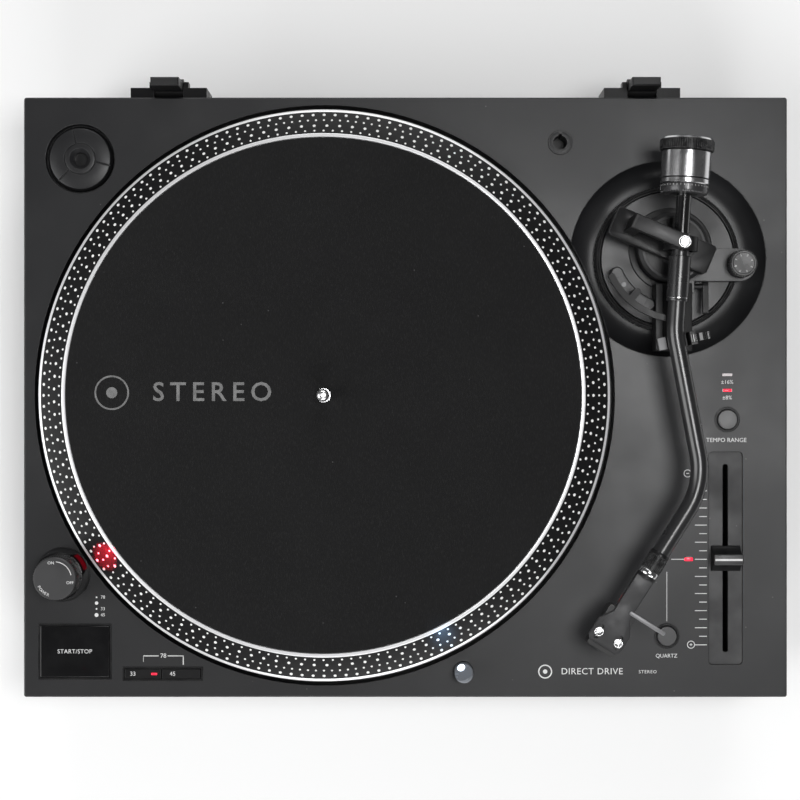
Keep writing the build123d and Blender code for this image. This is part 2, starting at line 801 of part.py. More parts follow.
with BuildPart() as button_frames:
    for tray_x, tray_y, tray_w, tray_d in (
        (start_x, start_y, start_frame_width, start_frame_depth),
        (speed_x, speed_y, speed_frame_width, speed_frame_depth),
    ):
        with BuildSketch(deck_plane(tray_x, tray_y, button_underside - tray_floor)):
            Rectangle(tray_w - 2 * touch_gap, tray_d - 2 * touch_gap)
        extrude(amount=tray_floor - button_underside + 0.2)
        with BuildSketch(deck_plane(tray_x, tray_y, button_underside)):
            Rectangle(tray_w - 2 * frame_edge, tray_d - 2 * frame_edge)
        extrude(amount=0.2 - button_underside, mode=Mode.SUBTRACT)
    for ring_x, ring_y in ((quartz_x, quartz_y), (range_x, range_y)):
        with BuildSketch(deck_plane(ring_x, ring_y, -1.2)):
            Circle(round_button_ring - touch_gap)
            Circle(round_button_radius + sliding_gap, mode=Mode.SUBTRACT)
        extrude(amount=1.3)
        with BuildSketch(deck_plane(ring_x, ring_y, button_underside - tray_floor)):
            Circle(round_button_radius + 2)
        extrude(amount=tray_floor + button_body)
        with BuildSketch(deck_plane(ring_x, ring_y, button_underside)):
            Circle(round_button_radius + sliding_gap)
        extrude(amount=button_body, mode=Mode.SUBTRACT)
write(button_frames.part, "button_frames")

button_travel = 1.5
button_bottom = button_underside + 2 * button_travel
with BuildPart() as start_stop_button:
    with BuildSketch(deck_plane(start_x, start_y, button_bottom)):
        inner_width = start_frame_width - 2 * frame_edge - 2 * sliding_gap
        inner_depth = start_frame_depth - 2 * frame_edge - 2 * sliding_gap
        Rectangle(inner_width, inner_depth)
    extrude(amount=button_proud - button_bottom)
    fillet(start_stop_button.edges().group_by(Axis.Z)[-1], 0.4)
write(start_stop_button.part, "start_stop_button")

speed_left = speed_x - speed_frame_width / 2 + frame_edge + sliding_gap
speed_right = speed_x + speed_frame_width / 2 - frame_edge - sliding_gap
for speed_name, speed_low, speed_high in (
    ("speed_33_button", speed_left, speed_split - sliding_gap / 2),
    ("speed_45_button", speed_split + sliding_gap / 2, speed_right),
):
    with BuildPart() as speed_button:
        with BuildSketch(deck_plane((speed_low + speed_high) / 2, speed_y, button_bottom)):
            Rectangle(speed_high - speed_low, speed_frame_depth - 2 * frame_edge - 2 * sliding_gap)
        extrude(amount=button_proud - button_bottom)
        fillet(speed_button.edges().group_by(Axis.Z)[-1], 0.3)
    write(speed_button.part, speed_name)

for round_name, round_x, round_y in (
    ("quartz_button", quartz_x, quartz_y),
    ("tempo_range_button", range_x, range_y),
):
    with BuildPart() as round_button:
        with BuildSketch(deck_plane(round_x, round_y, button_bottom)):
            Circle(round_button_radius)
        extrude(amount=round_button_proud - button_bottom)
        fillet(round_button.edges().group_by(Axis.Z)[-1], 0.6)
    write(round_button.part, round_name)

# Power switch and strobe lamp in one tower.
tower_axis = deck_plane(tower_x, tower_y)
tower_bore = 5.0
tower_outline = [
    (tower_bore, 0),
    (tower_radius, 0),
    (tower_radius, 2),
    (tower_top_radius, tower_height),
    (tower_bore, tower_height),
]
tower_section = Plane(origin=tower_axis.origin, x_dir=(1, 0, 0), z_dir=(0, -1, 0))
window_plane = deck_plane(tower_x, tower_y, 3.0, window_turn)
with BuildPart() as strobe_tower:
    with BuildSketch(tower_section):
        with BuildLine():
            Polyline(*tower_outline, close=True)
        make_face()
    revolve(axis=Axis(tower_axis.origin, (0, 0, 1)))
    with BuildSketch(window_plane):
        with Locations((tower_radius, 0)):
            Rectangle(8, 10)
    extrude(amount=8, mode=Mode.SUBTRACT)
write(strobe_tower.part, "strobe_tower")

with BuildPart() as strobe_window:
    with BuildSketch(tower_section):
        with BuildLine():
            Polyline(*tower_outline, close=True)
        make_face()
    revolve(axis=Axis(tower_axis.origin, (0, 0, 1)))
    with BuildSketch(window_plane):
        with Locations((tower_radius, 0)):
            Rectangle(8, 10)
    extrude(amount=8, mode=Mode.INTERSECT)
write(strobe_window.part, "strobe_window")

knob_base = tower_height + sliding_gap
with BuildPart() as power_knob:
    with BuildSketch(tower_axis.offset(knob_base)):
        Circle(knob_radius)
    extrude(amount=knob_height)
    fillet(power_knob.edges().group_by(Axis.Z)[-1], 1.2)
    with BuildSketch(tower_axis.offset(1.0)):
        Circle(tower_bore - running_gap)
    extrude(amount=knob_base - 1.0)
write(power_knob.part, "power_knob")

# Tempo slider.
plate_top = -slider_plate_drop
plate_bottom = plate_top - slider_plate_thickness
with BuildPart() as slider_plate:
    with BuildSketch(deck_plane(slider_x, slider_y, plate_bottom)):
        RectangleRounded(slider_plate_width - 2 * touch_gap, slider_plate_length - 2 * touch_gap, 2.5)
        RectangleRounded(slider_slot_width, slider_slot_length, 1.5, mode=Mode.SUBTRACT)
    extrude(amount=slider_plate_thickness)
write(slider_plate.part, "slider_plate")

with BuildPart() as slider_unit:
    with BuildSketch(deck_plane(slider_x, slider_y, -deck_thickness - 14)):
        Rectangle(slider_slot_width + 6, slider_slot_length + 10)
    extrude(amount=14)
    with BuildSketch(deck_plane(slider_x, slider_y, -deck_thickness - 12)):
        Rectangle(slider_slot_width, slider_slot_length)
    extrude(amount=12, mode=Mode.SUBTRACT)
write(slider_unit.part, "slider_unit")

with BuildPart() as tempo_slider_knob:
    with BuildSketch(deck_plane(slider_x, slider_y, plate_top + sliding_gap)):
        Rectangle(knob_width, knob_depth)
    with BuildSketch(deck_plane(slider_x, slider_y, plate_top + sliding_gap + knob_rise)):
        Rectangle(knob_width - 2.5, knob_depth - 5)
    loft()
    fillet(tempo_slider_knob.edges().group_by(Axis.Z)[-1], 0.8)
    with BuildSketch(deck_plane(slider_x, slider_y, -deck_thickness - 10)):
        Rectangle(slider_slot_width - 2 * sliding_gap, 8)
    extrude(amount=deck_thickness + 10 + plate_top + 1)
write(tempo_slider_knob.part, "tempo_slider_knob")

# Pop-up lamp, in its guide tube; its lens is cut aslant towards the platter.
target_turn = 116.0
target_axis = deck_plane(target_x, target_y, 0, target_turn)
target_travel = target_rise - 2.0
with BuildPart() as target_light:
    with BuildSketch(target_axis.offset(target_rise - target_depth)):
        Circle(target_radius)
    extrude(amount=target_depth)
    fillet(target_light.edges().group_by(Axis.Z)[-1], 0.8)
    slope = Plane(
        origin=target_axis.from_local_coords(Vector(target_radius, 0, target_rise - 9)),
        x_dir=target_axis.y_dir,
        z_dir=target_axis.x_dir * sin(radians(target_slope)) + Vector(0, 0, cos(radians(target_slope))),
    )
    with BuildSketch(slope):
        Rectangle(30, 30)
    extrude(amount=20, mode=Mode.SUBTRACT)
write(target_light.part, "target_light")

with BuildPart() as target_guide:
    guide_bottom = target_rise - target_depth - target_travel - 2
    with BuildSketch(target_axis.offset(guide_bottom)):
        Circle(target_radius + 2)
    extrude(amount=-deck_thickness - guide_bottom)
    with BuildSketch(target_axis.offset(guide_bottom + 1.5)):
        Circle(target_radius + sliding_gap)
    extrude(amount=60, mode=Mode.SUBTRACT)

with BuildPart() as stow_socket:
    with BuildSketch(deck_plane(stow_x, stow_y, -1.2)):
        Circle(stow_flange)
    extrude(amount=1.8)
    with BuildSketch(deck_plane(stow_x, stow_y, -stow_depth - 2)):
        Circle(stow_bore + 1.9)
    extrude(amount=stow_depth + 2)
    with BuildSketch(deck_plane(stow_x, stow_y, -stow_depth)):
        Circle(stow_bore)
        with Locations((0, stow_bore)):
            Rectangle(1.6, 2)
    extrude(amount=stow_depth + 2, mode=Mode.SUBTRACT)
write(stow_socket.part, "stow_socket")

# Small lamps under the deck: tempo centre and the two range lamps, with the target lamp's guide.
with BuildPart() as indicator_lamps:
    with BuildSketch(deck_plane(quartz_lamp_x, slider_y, -deck_thickness - 2)):
        SlotOverall(4.6 - 2 * touch_gap, 2.6 - 2 * touch_gap)
    extrude(amount=deck_thickness + 2.1)
    with BuildSketch(deck_plane(range_x, 0, -deck_thickness - 2)):
        with Locations(*[(0, y) for y in range_lamp_y]):
            Rectangle(lamp_length - 2 * touch_gap, lamp_width - 2 * touch_gap)
    extrude(amount=deck_thickness + 2.1)
    add(target_guide.part)
write(indicator_lamps.part, "indicator_lamps")

with BuildPart() as adapter_45:
    with BuildSketch(deck_plane(adapter_x, adapter_y, -adapter_pocket_depth + touch_gap)):
        Circle(adapter_radius)
    extrude(amount=adapter_height)
    fillet(adapter_45.edges().group_by(Axis.Z)[-1], 1.0)
    with BuildSketch(deck_plane(adapter_x, adapter_y, -adapter_pocket_depth)):
        Circle(spindle_radius + 0.2)
    extrude(amount=adapter_height + 2, mode=Mode.SUBTRACT)
write(adapter_45.part, "adapter_45")

# ---------------------------------------------------------------- tonearm base
ring_bottom = -dish_depth + touch_gap
with BuildPart() as height_ring:
    with BuildSketch(dish_axis.offset(ring_bottom)):
        Circle(ring_outer)
        Circle(ring_outer - ring_width, mode=Mode.SUBTRACT)
    extrude(amount=ring_height)
    chamfer(height_ring.edges().group_by(Axis.Z)[-1], 0.5)
write(height_ring.part, "height_ring")

pivot_axis = deck_plane(pivot_x, pivot_y)
bracket = deck_plane(pivot_x, pivot_y, 0, bracket_turn)
plate_radius = ring_outer - ring_width - 0.4
plate_bottom_z = base_plate_top - 3.0
pod_length = anti_skate_x - pivot_x
lever_axis = deck_plane(lever_x, lever_y, lever_height)
with BuildPart() as arm_base:
    with BuildSketch(dish_axis.offset(plate_bottom_z)):
        Circle(plate_radius)
    extrude(amount=3.0)
    with BuildSketch(dish_axis.offset(plate_bottom_z - barrel_depth)):
        Circle(barrel_radius)
    extrude(amount=barrel_depth)
    with BuildSketch(pivot_axis.offset(base_plate_top)):
        Circle(drum_radius)
    extrude(amount=bar_top - bar_thickness - base_plate_top - touch_gap)
    chamfer(arm_base.edges().group_by(Axis.Z)[-1], drum_step)
    # Pod that carries the anti-skate knob.
    with BuildSketch(deck_plane((pivot_x + anti_skate_x) / 2, anti_skate_y, pod_floor)):
        SlotOverall(pod_length + pod_width, pod_width)
    extrude(amount=pod_top - pod_floor)
    # Block that carries the arm rest.
    block_x = (rest_block_left + rest_block_right) / 2
    block_y = (rest_block_front + rest_block_back) / 2
    with BuildSketch(deck_plane(block_x, block_y, pod_floor)):
        Rectangle(rest_block_right - rest_block_left, rest_block_back - rest_block_front)
    extrude(amount=rest_block_top - pod_floor)
    with BuildSketch(dish_axis.offset(base_plate_top - 1)):
        Circle(plate_radius)
    extrude(amount=1)
    # Lug for the cue lever's shaft.
    with BuildSketch(deck_plane(lever_x - lever_shaft_length / 2 - 2.5, lever_y, base_plate_top)):
        Rectangle(6, 7)
    extrude(amount=lever_height + 3.5 - base_plate_top)
    with BuildSketch(Plane(origin=lever_axis.origin, x_dir=(0, 1, 0), z_dir=(-1, 0, 0))):
        Circle(lever_shaft_radius + running_gap)
    extrude(amount=lever_shaft_length + 1, mode=Mode.SUBTRACT)
    with BuildSketch(deck_plane(anti_skate_x, anti_skate_y, pod_top - stem_depth)):
        Circle(stem_radius + running_gap)
    extrude(amount=stem_depth, mode=Mode.SUBTRACT)
    # Wiring runs down through the middle.
    with BuildSketch(dish_axis.offset(plate_bottom_z - barrel_depth)):
        Circle(barrel_radius - 4)
    extrude(amount=barrel_depth, mode=Mode.SUBTRACT)
write(arm_base.part, "arm_base")

bridge_bottom = pivot_height + gimbal_outer + bridge_gap
with BuildPart() as bearing_bracket:
    with BuildSketch(bracket.offset(bar_top - bar_thickness)):
        with Locations(((bar_left - bar_right) / 2, 0)):
            RectangleRounded(bar_left + bar_right, bar_width, 2)
    extrude(amount=bar_thickness)
    with BuildSketch(bracket.offset(bar_top)):
        Circle(lower_post_radius)
    extrude(amount=pivot_height - gimbal_outer - bridge_gap - bar_top)
    with BuildSketch(bracket.offset(bar_top)):
        with Locations((bridge_reach - 2, 0)):
            Rectangle(6, bridge_width)
    extrude(amount=bridge_bottom - bar_top)
    with BuildSketch(bracket.offset(bridge_bottom)):
        with Locations((bridge_reach / 2 + 0.5, 0)):
            Rectangle(bridge_reach + 1, bridge_width)
        Circle(bridge_width / 2)
    extrude(amount=bridge_thickness)
    chamfer(bearing_bracket.edges().group_by(Axis.Z)[-1], 0.5)
    with BuildSketch(bracket.offset(bar_top - 4)):
        Circle(pivot_pin_radius)
    extrude(amount=50, mode=Mode.SUBTRACT)
write(bearing_bracket.part, "bearing_bracket")

pin_bottom = pivot_height - gimbal_outer + pivot_pin_depth
pin_top = pivot_height + gimbal_outer - pivot_pin_depth
with BuildPart() as pivot_screws:
    with BuildSketch(bracket.offset(bar_top - 4)):
        Circle(pivot_pin_radius)
    extrude(amount=pin_bottom - bar_top + 4)
    with BuildSketch(bracket.offset(pin_top)):
        Circle(pivot_pin_radius)
    extrude(amount=bridge_bottom + bridge_thickness - pin_top)
    with BuildSketch(bracket.offset(bridge_bottom + bridge_thickness)):
        Circle(pivot_screw_radius)
    extrude(amount=pivot_screw_head)
write(pivot_screws.part, "pivot_screws")

# Arm rest: a post, a shelf just under the tube, and a wall that carries the clip.
rest_point = bend_1 + run_2 * rest_distance
rest_right = Vector(-run_2.Y, run_2.X, 0)
rest_section = Plane(origin=rest_point, x_dir=rest_right, z_dir=run_2)
rest_back = rest_section.offset(-rest_length / 2)
shelf_top = -tube_radius - rest_gap
with BuildPart() as arm_rest:
    with BuildSketch(rest_back):
        with BuildLine():
            Polyline(
                (-rest_reach_left, shelf_top),
                (clip_pin_x - clip_eye_radius - 0.6, shelf_top),
                (clip_pin_x - 1.5, clip_pin_height - clip_eye_radius - 0.4),
                (rest_reach_right, clip_pin_height - clip_eye_radius - 0.4),
                (rest_reach_right, shelf_top - rest_shelf),
                (-rest_reach_left, shelf_top - rest_shelf),
                close=True,
            )
        make_face()
    extrude(amount=rest_length)
    with BuildSketch(Plane(origin=rest_point, x_dir=rest_right, z_dir=(0, 0, -1))):
        Rectangle(rest_post_width, rest_length)
    extrude(amount=pivot_height - rest_block_top)
    with BuildSketch(Plane(origin=rest_point, x_dir=rest_right, z_dir=(0, 0, -1))):
        Rectangle(rest_post_width + 1, rest_length + 1)
    extrude(amount=-shelf_top, mode=Mode.SUBTRACT)
    # Two cheeks hold the clip's pin.
    for cheek in (0, rest_length - 1.5):
        with BuildSketch(rest_back.offset(cheek)):
            with Locations((clip_pin_x, clip_pin_height - 2)):
                Rectangle(3.6, 7)
        extrude(amount=1.5)
    with BuildSketch(rest_back):
        with Locations((clip_pin_x, clip_pin_height)):
            Circle(clip_pin_radius + running_gap)
    extrude(amount=rest_length, mode=Mode.SUBTRACT)
write(arm_rest.part, "arm_rest")

clip_origin = rest_section.from_local_coords(Vector(clip_pin_x, clip_pin_height, 0))
clip_angle = radians(clip_open)
clip_section = Plane(
    origin=clip_origin,
    x_dir=rest_right * cos(clip_angle) - Vector(0, 0, sin(clip_angle)),
    z_dir=run_2,
)
hook_radius = tube_radius + clip_gap + clip_thickness / 2
hook_line = CenterArc((-clip_pin_x, -clip_pin_height), hook_radius, 10, 110)
with BuildPart() as rest_clip:
    clip_length = rest_length - 3 - 2 * touch_gap
    with BuildSketch(clip_section.offset(-clip_length / 2)):
        Circle(clip_eye_radius)
        SlotArc(hook_line, clip_thickness)
    extrude(amount=clip_length)
    with BuildSketch(clip_section.offset(-rest_length / 2 + touch_gap)):
        Circle(clip_pin_radius)
    extrude(amount=rest_length - 2 * touch_gap)
write(rest_clip.part, "rest_clip")

# Cue lift: a fluid-damped cylinder in a curved housing, a post, and the curved bar under the tube.
lift = deck_plane(pivot_x, pivot_y, 0, rest_turn)


def lift_angle(degrees):
    """An angle in the lift's plane, from one measured off straight ahead towards the platter."""
    return -90 - degrees


housing_span = lift_housing_to - lift_housing_from
housing_line = CenterArc((0, 0), lift_post_circle, lift_angle(lift_housing_to), housing_span)
with BuildPart() as lift_cylinder:
    with BuildSketch(lift.offset(base_plate_top)):
        SlotArc(housing_line, lift_housing_width)
    extrude(amount=lift_housing_top - base_plate_top)
    chamfer(lift_cylinder.edges().group_by(Axis.Z)[-1], 0.6)
    with BuildSketch(lift.offset(lift_housing_top - lift_post_depth - 2)):
        with Locations(Location((0, 0, 0), (0, 0, lift_angle(lift_post_angle)))):
            with Locations((lift_post_circle, 0)):
                Circle(lift_post_radius + running_gap)
    extrude(amount=lift_post_depth + 2, mode=Mode.SUBTRACT)
write(lift_cylinder.part, "lift_cylinder")

bar_height = pivot_height - tube_radius - lift_gap - lift_thickness
bar_line = CenterArc((0, 0), lift_radius, lift_angle(lift_to), lift_to - lift_from)
with BuildPart() as lift_bar:
    with BuildSketch(lift.offset(bar_height)):
        SlotArc(bar_line, lift_width)
    extrude(amount=lift_thickness)
    with BuildSketch(lift.offset(bar_height)):
        with Locations(Location((0, 0, 0), (0, 0, lift_angle(lift_post_angle)))):
            with Locations(((lift_post_circle + lift_radius) / 2, 0)):
                Rectangle(lift_radius - lift_post_circle, 2 * lift_post_radius)
            with Locations((lift_post_circle, 0)):
                Circle(lift_post_radius)
    extrude(amount=lift_thickness)
    with BuildSketch(lift.offset(lift_housing_top - lift_post_depth)):
        with Locations(Location((0, 0, 0), (0, 0, lift_angle(lift_post_angle)))):
            with Locations((lift_post_circle, 0)):
                Circle(lift_post_radius)
    extrude(amount=bar_height - lift_housing_top + lift_post_depth)
write(lift_bar.part, "lift_bar")

with BuildPart() as cue_lever:
    with BuildSketch(Plane(origin=lever_axis.origin, x_dir=(0, 1, 0), z_dir=(-1, 0, 0))):
        Circle(lever_shaft_radius)
    extrude(amount=lever_shaft_length)
    lever_side = Plane(origin=lever_axis.origin, x_dir=(0, 1, 0), z_dir=(1, 0, 0)).offset(-0.4)
    with BuildSketch(lever_side):
        Circle(lever_hub_radius)
        with BuildLine():
            Polyline(
                (0, lever_hub_radius),
                (-lever_length, 3.4),
                (-lever_length, 0.6),
                (0, -lever_hub_radius),
                close=True,
            )
        make_face()
    extrude(amount=lever_width)
    fillet(cue_lever.edges().filter_by(Axis.X).group_by(Axis.Y)[0], 0.9)
write(cue_lever.part, "cue_lever")

with BuildPart() as anti_skate_knob:
    with BuildSketch(deck_plane(anti_skate_x, anti_skate_y, pod_top + touch_gap)):
        Circle(anti_skate_radius)
    extrude(amount=anti_skate_height)
    chamfer(anti_skate_knob.edges().group_by(Axis.Z)[-1], 0.6)
    with BuildSketch(deck_plane(anti_skate_x, anti_skate_y, pod_top - stem_depth + touch_gap)):
        Circle(stem_radius)
    extrude(amount=stem_depth)
write(anti_skate_knob.part, "anti_skate_knob")

# ---------------------------------------------------------------- gimbal and tonearm
with BuildPart() as gimbal_ring:
    with BuildSketch(back_axis.offset(-gimbal_length / 2)):
        Circle(gimbal_outer)
        Circle(gimbal_inner, mode=Mode.SUBTRACT)
    extrude(amount=gimbal_length)
    with BuildSketch(arm.offset(-gimbal_outer - 1)):
        Circle(pivot_pin_radius + running_gap)
    extrude(amount=1 + pivot_pin_depth + touch_gap, mode=Mode.SUBTRACT)
    with BuildSketch(arm.offset(gimbal_outer - pivot_pin_depth - touch_gap)):
        Circle(pivot_pin_radius + running_gap)
    extrude(amount=1 + pivot_pin_depth + touch_gap, mode=Mode.SUBTRACT)
    with BuildSketch(side_axis.offset(-gimbal_outer - 1)):
        Circle(cross_shaft_radius + running_gap)
    extrude(amount=2 * gimbal_outer + 2, mode=Mode.SUBTRACT)
write(gimbal_ring.part, "gimbal_ring")

with BuildPart() as cross_shaft:
    with BuildSketch(side_axis.offset(0.5 - gimbal_outer)):
        Circle(cross_shaft_radius)
    extrude(amount=2 * gimbal_outer - 1)
write(cross_shaft.part, "cross_shaft")

with BuildPart() as arm_tube:
    with BuildLine():
        tube_path = FilletPolyline(
            pivot - ahead * rear_shaft_start,
            bend_1,
            bend_2,
            bend_2 + run_3 * (arm_run_3 - 3.0),
            radius=[arm_bend_1, arm_bend_2],
        )
    with BuildSketch(Plane(origin=tube_path @ 0, x_dir=(0, 0, 1), z_dir=ahead)):
        Circle(tube_radius)
        Circle(tube_bore, mode=Mode.SUBTRACT)
    sweep()
    with BuildSketch(Plane(origin=pivot + ahead * sleeve_start, x_dir=(0, 0, 1), z_dir=ahead)):
        Circle(sleeve_radius)
        Circle(tube_radius - 0.3, mode=Mode.SUBTRACT)
    extrude(amount=sleeve_front - sleeve_start)
    # The tube is solid round the cross shaft.
    with BuildSketch(back_axis.offset(-3)):
        Circle(tube_radius)
    extrude(amount=6)
    with BuildSketch(side_axis.offset(-tube_radius - 1)):
        Circle(cross_shaft_radius + running_gap)
    extrude(amount=2 * tube_radius + 2, mode=Mode.SUBTRACT)
write(arm_tube.part, "arm_tube")

with BuildPart() as rear_shaft:
    with BuildSketch(back_axis.offset(3.2)):
        Circle(tube_bore - 0.02)
    extrude(amount=rear_shaft_start - 3.2)
    with BuildSketch(back_axis.offset(rear_shaft_start)):
        Circle(rear_shaft_radius)
    extrude(amount=rear_shaft_end - rear_shaft_start)
    chamfer(rear_shaft.edges().group_by(Axis.Y)[-1], 0.6)
write(rear_shaft.part, "rear_shaft")

# The counterweight turns on a sleeve that slides along the rear shaft.
with BuildPart() as counterweight_sleeve:
    with BuildSketch(back_axis.offset(weight_start - dial_length)):
        Circle(weight_sleeve_radius - running_gap)
        Circle(rear_shaft_radius + running_gap, mode=Mode.SUBTRACT)
    extrude(amount=weight_length + dial_length - 1)
write(counterweight_sleeve.part, "counterweight_sleeve")

with BuildPart() as counterweight:
    with BuildSketch(back_axis.offset(weight_start)):
        Circle(weight_radius)
    extrude(amount=weight_length)
    with BuildSketch(back_axis.offset(weight_start + weight_length - weight_ring_length)):
        Circle(weight_ring_radius)
    extrude(amount=weight_ring_length)
    chamfer(counterweight.edges().group_by(Axis.Y)[-1], 1.0)
    with BuildSketch(back_axis.offset(weight_start)):
        Circle(weight_sleeve_radius)
    extrude(amount=weight_length, mode=Mode.SUBTRACT)
write(counterweight.part, "counterweight")

with BuildPart() as tracking_dial:
    with BuildSketch(back_axis.offset(weight_start - dial_length - touch_gap)):
        Circle(dial_radius)
    extrude(amount=dial_length)
    chamfer(tracking_dial.edges().group_by(Axis.Y)[0], 0.6)
    with BuildSketch(back_axis.offset(weight_start - dial_length - touch_gap)):
        Circle(weight_sleeve_radius)
    extrude(amount=dial_length, mode=Mode.SUBTRACT)
write(tracking_dial.part, "tracking_dial")

# ---------------------------------------------------------------- headshell
collar_back = shell_axis.offset(-collar_length)
with BuildPart() as lock_collar:
    with BuildSketch(collar_back):
        Circle(collar_radius)
    extrude(amount=collar_length)
    chamfer(lock_collar.edges().group_by(SortBy.LENGTH)[-1], 0.4)
    with BuildSketch(collar_back):
        Circle(tube_radius + running_gap)
    extrude(amount=collar_length, mode=Mode.SUBTRACT)
write(lock_collar.part, "lock_collar")

with BuildPart() as headshell:
    with BuildSketch(shell_axis.offset(-neck_length)):
        Circle(neck_radius)
    extrude(amount=neck_length + touch_gap)
    with BuildSketch(shell_axis.offset(touch_gap)):
        Circle(shell_flange_radius)
    extrude(amount=shell_flange)
    with BuildSketch(shell.offset(-shell_thickness / 2)):
        with BuildLine():
            stem = shell_stem_width / 2
            nose = shell_nose_width / 2
            Polyline(
                (shell_flange - 0.5, -stem),
                (shell_waist, -stem),
                (shell_shoulder, -nose),
                (shell_length - 2, -nose),
                (shell_length, -nose + 2),
                (shell_length, nose - 2),
                (shell_length - 2, nose),
                (shell_shoulder, nose),
                (shell_waist, stem),
                (shell_flange - 0.5, stem),
                close=True,
            )
        make_face()
        with Locations((screw_line, -screw_spacing / 2), (screw_line, screw_spacing / 2)):
            SlotOverall(slot_length, slot_width, mode=Mode.SUBTRACT)
    extrude(amount=shell_thickness)
    # Lips along the underside stiffen the shell as far as the cartridge.
    lip_end = screw_line + cartridge_ahead - cartridge_length - sliding_gap
    for side in (-1, 1):
        with BuildSketch(shell.offset(-shell_thickness / 2 - 2.0)):
            with Locations(((shell_flange + lip_end) / 2, side * (stem - 0.8))):
                Rectangle(lip_end - shell_flange, 1.6)
        extrude(amount=2.0)
write(headshell.part, "headshell")

finger_start = shell_stem_width / 2 - 2.5
with BuildPart() as finger_lift:
    with BuildSketch(shell.offset(shell_thickness / 2)):
        with Locations((finger_line, finger_start + finger_length / 2)):
            Rectangle(finger_width, finger_length)
        with Locations((finger_line, finger_start + 1.5)):
            Circle(2.4)
    extrude(amount=finger_thickness)
    fillet(finger_lift.edges().filter_by(Axis.Z).sort_by(lambda e: (e.center() - pivot).length)[-1], 0.8)
write(finger_lift.part, "finger_lift")

shell_underside = -shell_thickness / 2
with BuildPart() as cartridge:
    with BuildSketch(shell.offset(shell_underside - cartridge_height)):
        with Locations((screw_line + cartridge_ahead - cartridge_length / 2, 0)):
            RectangleRounded(cartridge_length, cartridge_width, 1.5)
    extrude(amount=cartridge_height)
    with BuildSketch(shell.offset(shell_underside - cartridge_height)):
        with Locations((screw_line, -screw_spacing / 2), (screw_line, screw_spacing / 2)):
            Circle(cartridge_screw_radius)
    extrude(amount=cartridge_height, mode=Mode.SUBTRACT)
write(cartridge.part, "cartridge")

guard_top = shell_underside - cartridge_height
with BuildPart() as stylus:
    with BuildSketch(shell.offset(guard_top - stylus_guard_height)):
        with Locations((screw_line + cartridge_ahead - stylus_guard_length / 2 - 3.5, 0)):
            Rectangle(stylus_guard_length, stylus_guard_width)
    extrude(amount=stylus_guard_height)
    # Cantilever and tip reach forward under the guard.
    cantilever_top = guard_top - stylus_guard_height
    with BuildSketch(shell.offset(cantilever_top - 0.8)):
        with Locations((screw_line + stylus_ahead - 4, 0)):
            Rectangle(9, 0.8)
    extrude(amount=0.8)
write(stylus.part, "stylus")

with BuildPart() as cartridge_screws:
    for side in (-1, 1):
        with BuildSketch(shell.offset(shell_underside - 6)):
            with Locations((screw_line, side * screw_spacing / 2)):
                Circle(cartridge_screw_radius)
        extrude(amount=6 + shell_thickness)
        with BuildSketch(shell.offset(shell_thickness / 2)):
            with Locations((screw_line, side * screw_spacing / 2)):
                Circle(cartridge_head_radius)
        extrude(amount=cartridge_head_height)
write(cartridge_screws.part, "cartridge_screws")
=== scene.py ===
"""Finish, fine detail and studio for a direct-drive record player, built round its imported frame."""

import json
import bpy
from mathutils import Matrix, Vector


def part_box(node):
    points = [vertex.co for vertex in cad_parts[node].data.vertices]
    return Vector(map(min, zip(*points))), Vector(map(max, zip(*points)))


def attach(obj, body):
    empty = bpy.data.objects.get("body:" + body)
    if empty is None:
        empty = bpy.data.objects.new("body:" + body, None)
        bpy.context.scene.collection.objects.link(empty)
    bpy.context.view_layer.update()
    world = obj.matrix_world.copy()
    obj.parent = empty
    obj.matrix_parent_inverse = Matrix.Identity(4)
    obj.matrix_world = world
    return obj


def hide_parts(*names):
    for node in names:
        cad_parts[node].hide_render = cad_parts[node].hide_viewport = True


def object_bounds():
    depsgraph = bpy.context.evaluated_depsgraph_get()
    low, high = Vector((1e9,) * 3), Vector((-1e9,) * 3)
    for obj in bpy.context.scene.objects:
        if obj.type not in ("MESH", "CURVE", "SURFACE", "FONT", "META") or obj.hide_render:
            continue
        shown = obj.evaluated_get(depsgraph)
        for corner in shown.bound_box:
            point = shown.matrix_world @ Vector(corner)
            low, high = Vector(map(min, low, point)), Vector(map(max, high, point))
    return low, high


bl_info = {
    "name": "Record player finish",
    "version": (1, 0, 0),
    "blender": (4, 5, 0),
    "location": "View3D > Sidebar > Record player",
    "description": "Builds the detailed pieces and finishes of a direct-drive record player",
    "category": "Object",
}

from math import atan2, cos, pi, radians, sin

import bmesh
import bpy
from bpy.props import FloatProperty, FloatVectorProperty, IntProperty, PointerProperty
from mathutils import Matrix, Vector

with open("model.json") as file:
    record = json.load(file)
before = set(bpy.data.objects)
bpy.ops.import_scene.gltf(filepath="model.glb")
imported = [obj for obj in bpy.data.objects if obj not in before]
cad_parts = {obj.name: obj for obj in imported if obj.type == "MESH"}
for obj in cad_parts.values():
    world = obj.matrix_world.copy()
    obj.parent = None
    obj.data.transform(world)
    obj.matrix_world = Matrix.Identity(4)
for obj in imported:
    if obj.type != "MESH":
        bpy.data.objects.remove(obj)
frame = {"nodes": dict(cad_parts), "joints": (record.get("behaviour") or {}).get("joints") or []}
cad_low, cad_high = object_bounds()
joints = {joint["name"]: joint for joint in frame["joints"]}
MM = 0.001


# ------------------------------------------------------------------ places
def joint_point(name):
    """A hinge's own point, in metres."""
    return Vector(joints[name]["pos_m"])


def joint_axis(name):
    """A joint's own axis."""
    return Vector(joints[name]["axis"])


def middle(node):
    """The middle of a node's box, in metres."""
    low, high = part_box(node)
    return (low + high) / 2


def upright(point, turn=0.0):
    """Millimetres to metres, with +Z up, turned about the vertical by degrees."""
    return Matrix.Translation(point) @ Matrix.Rotation(radians(turn), 4, "Z") @ Matrix.Scale(MM, 4)


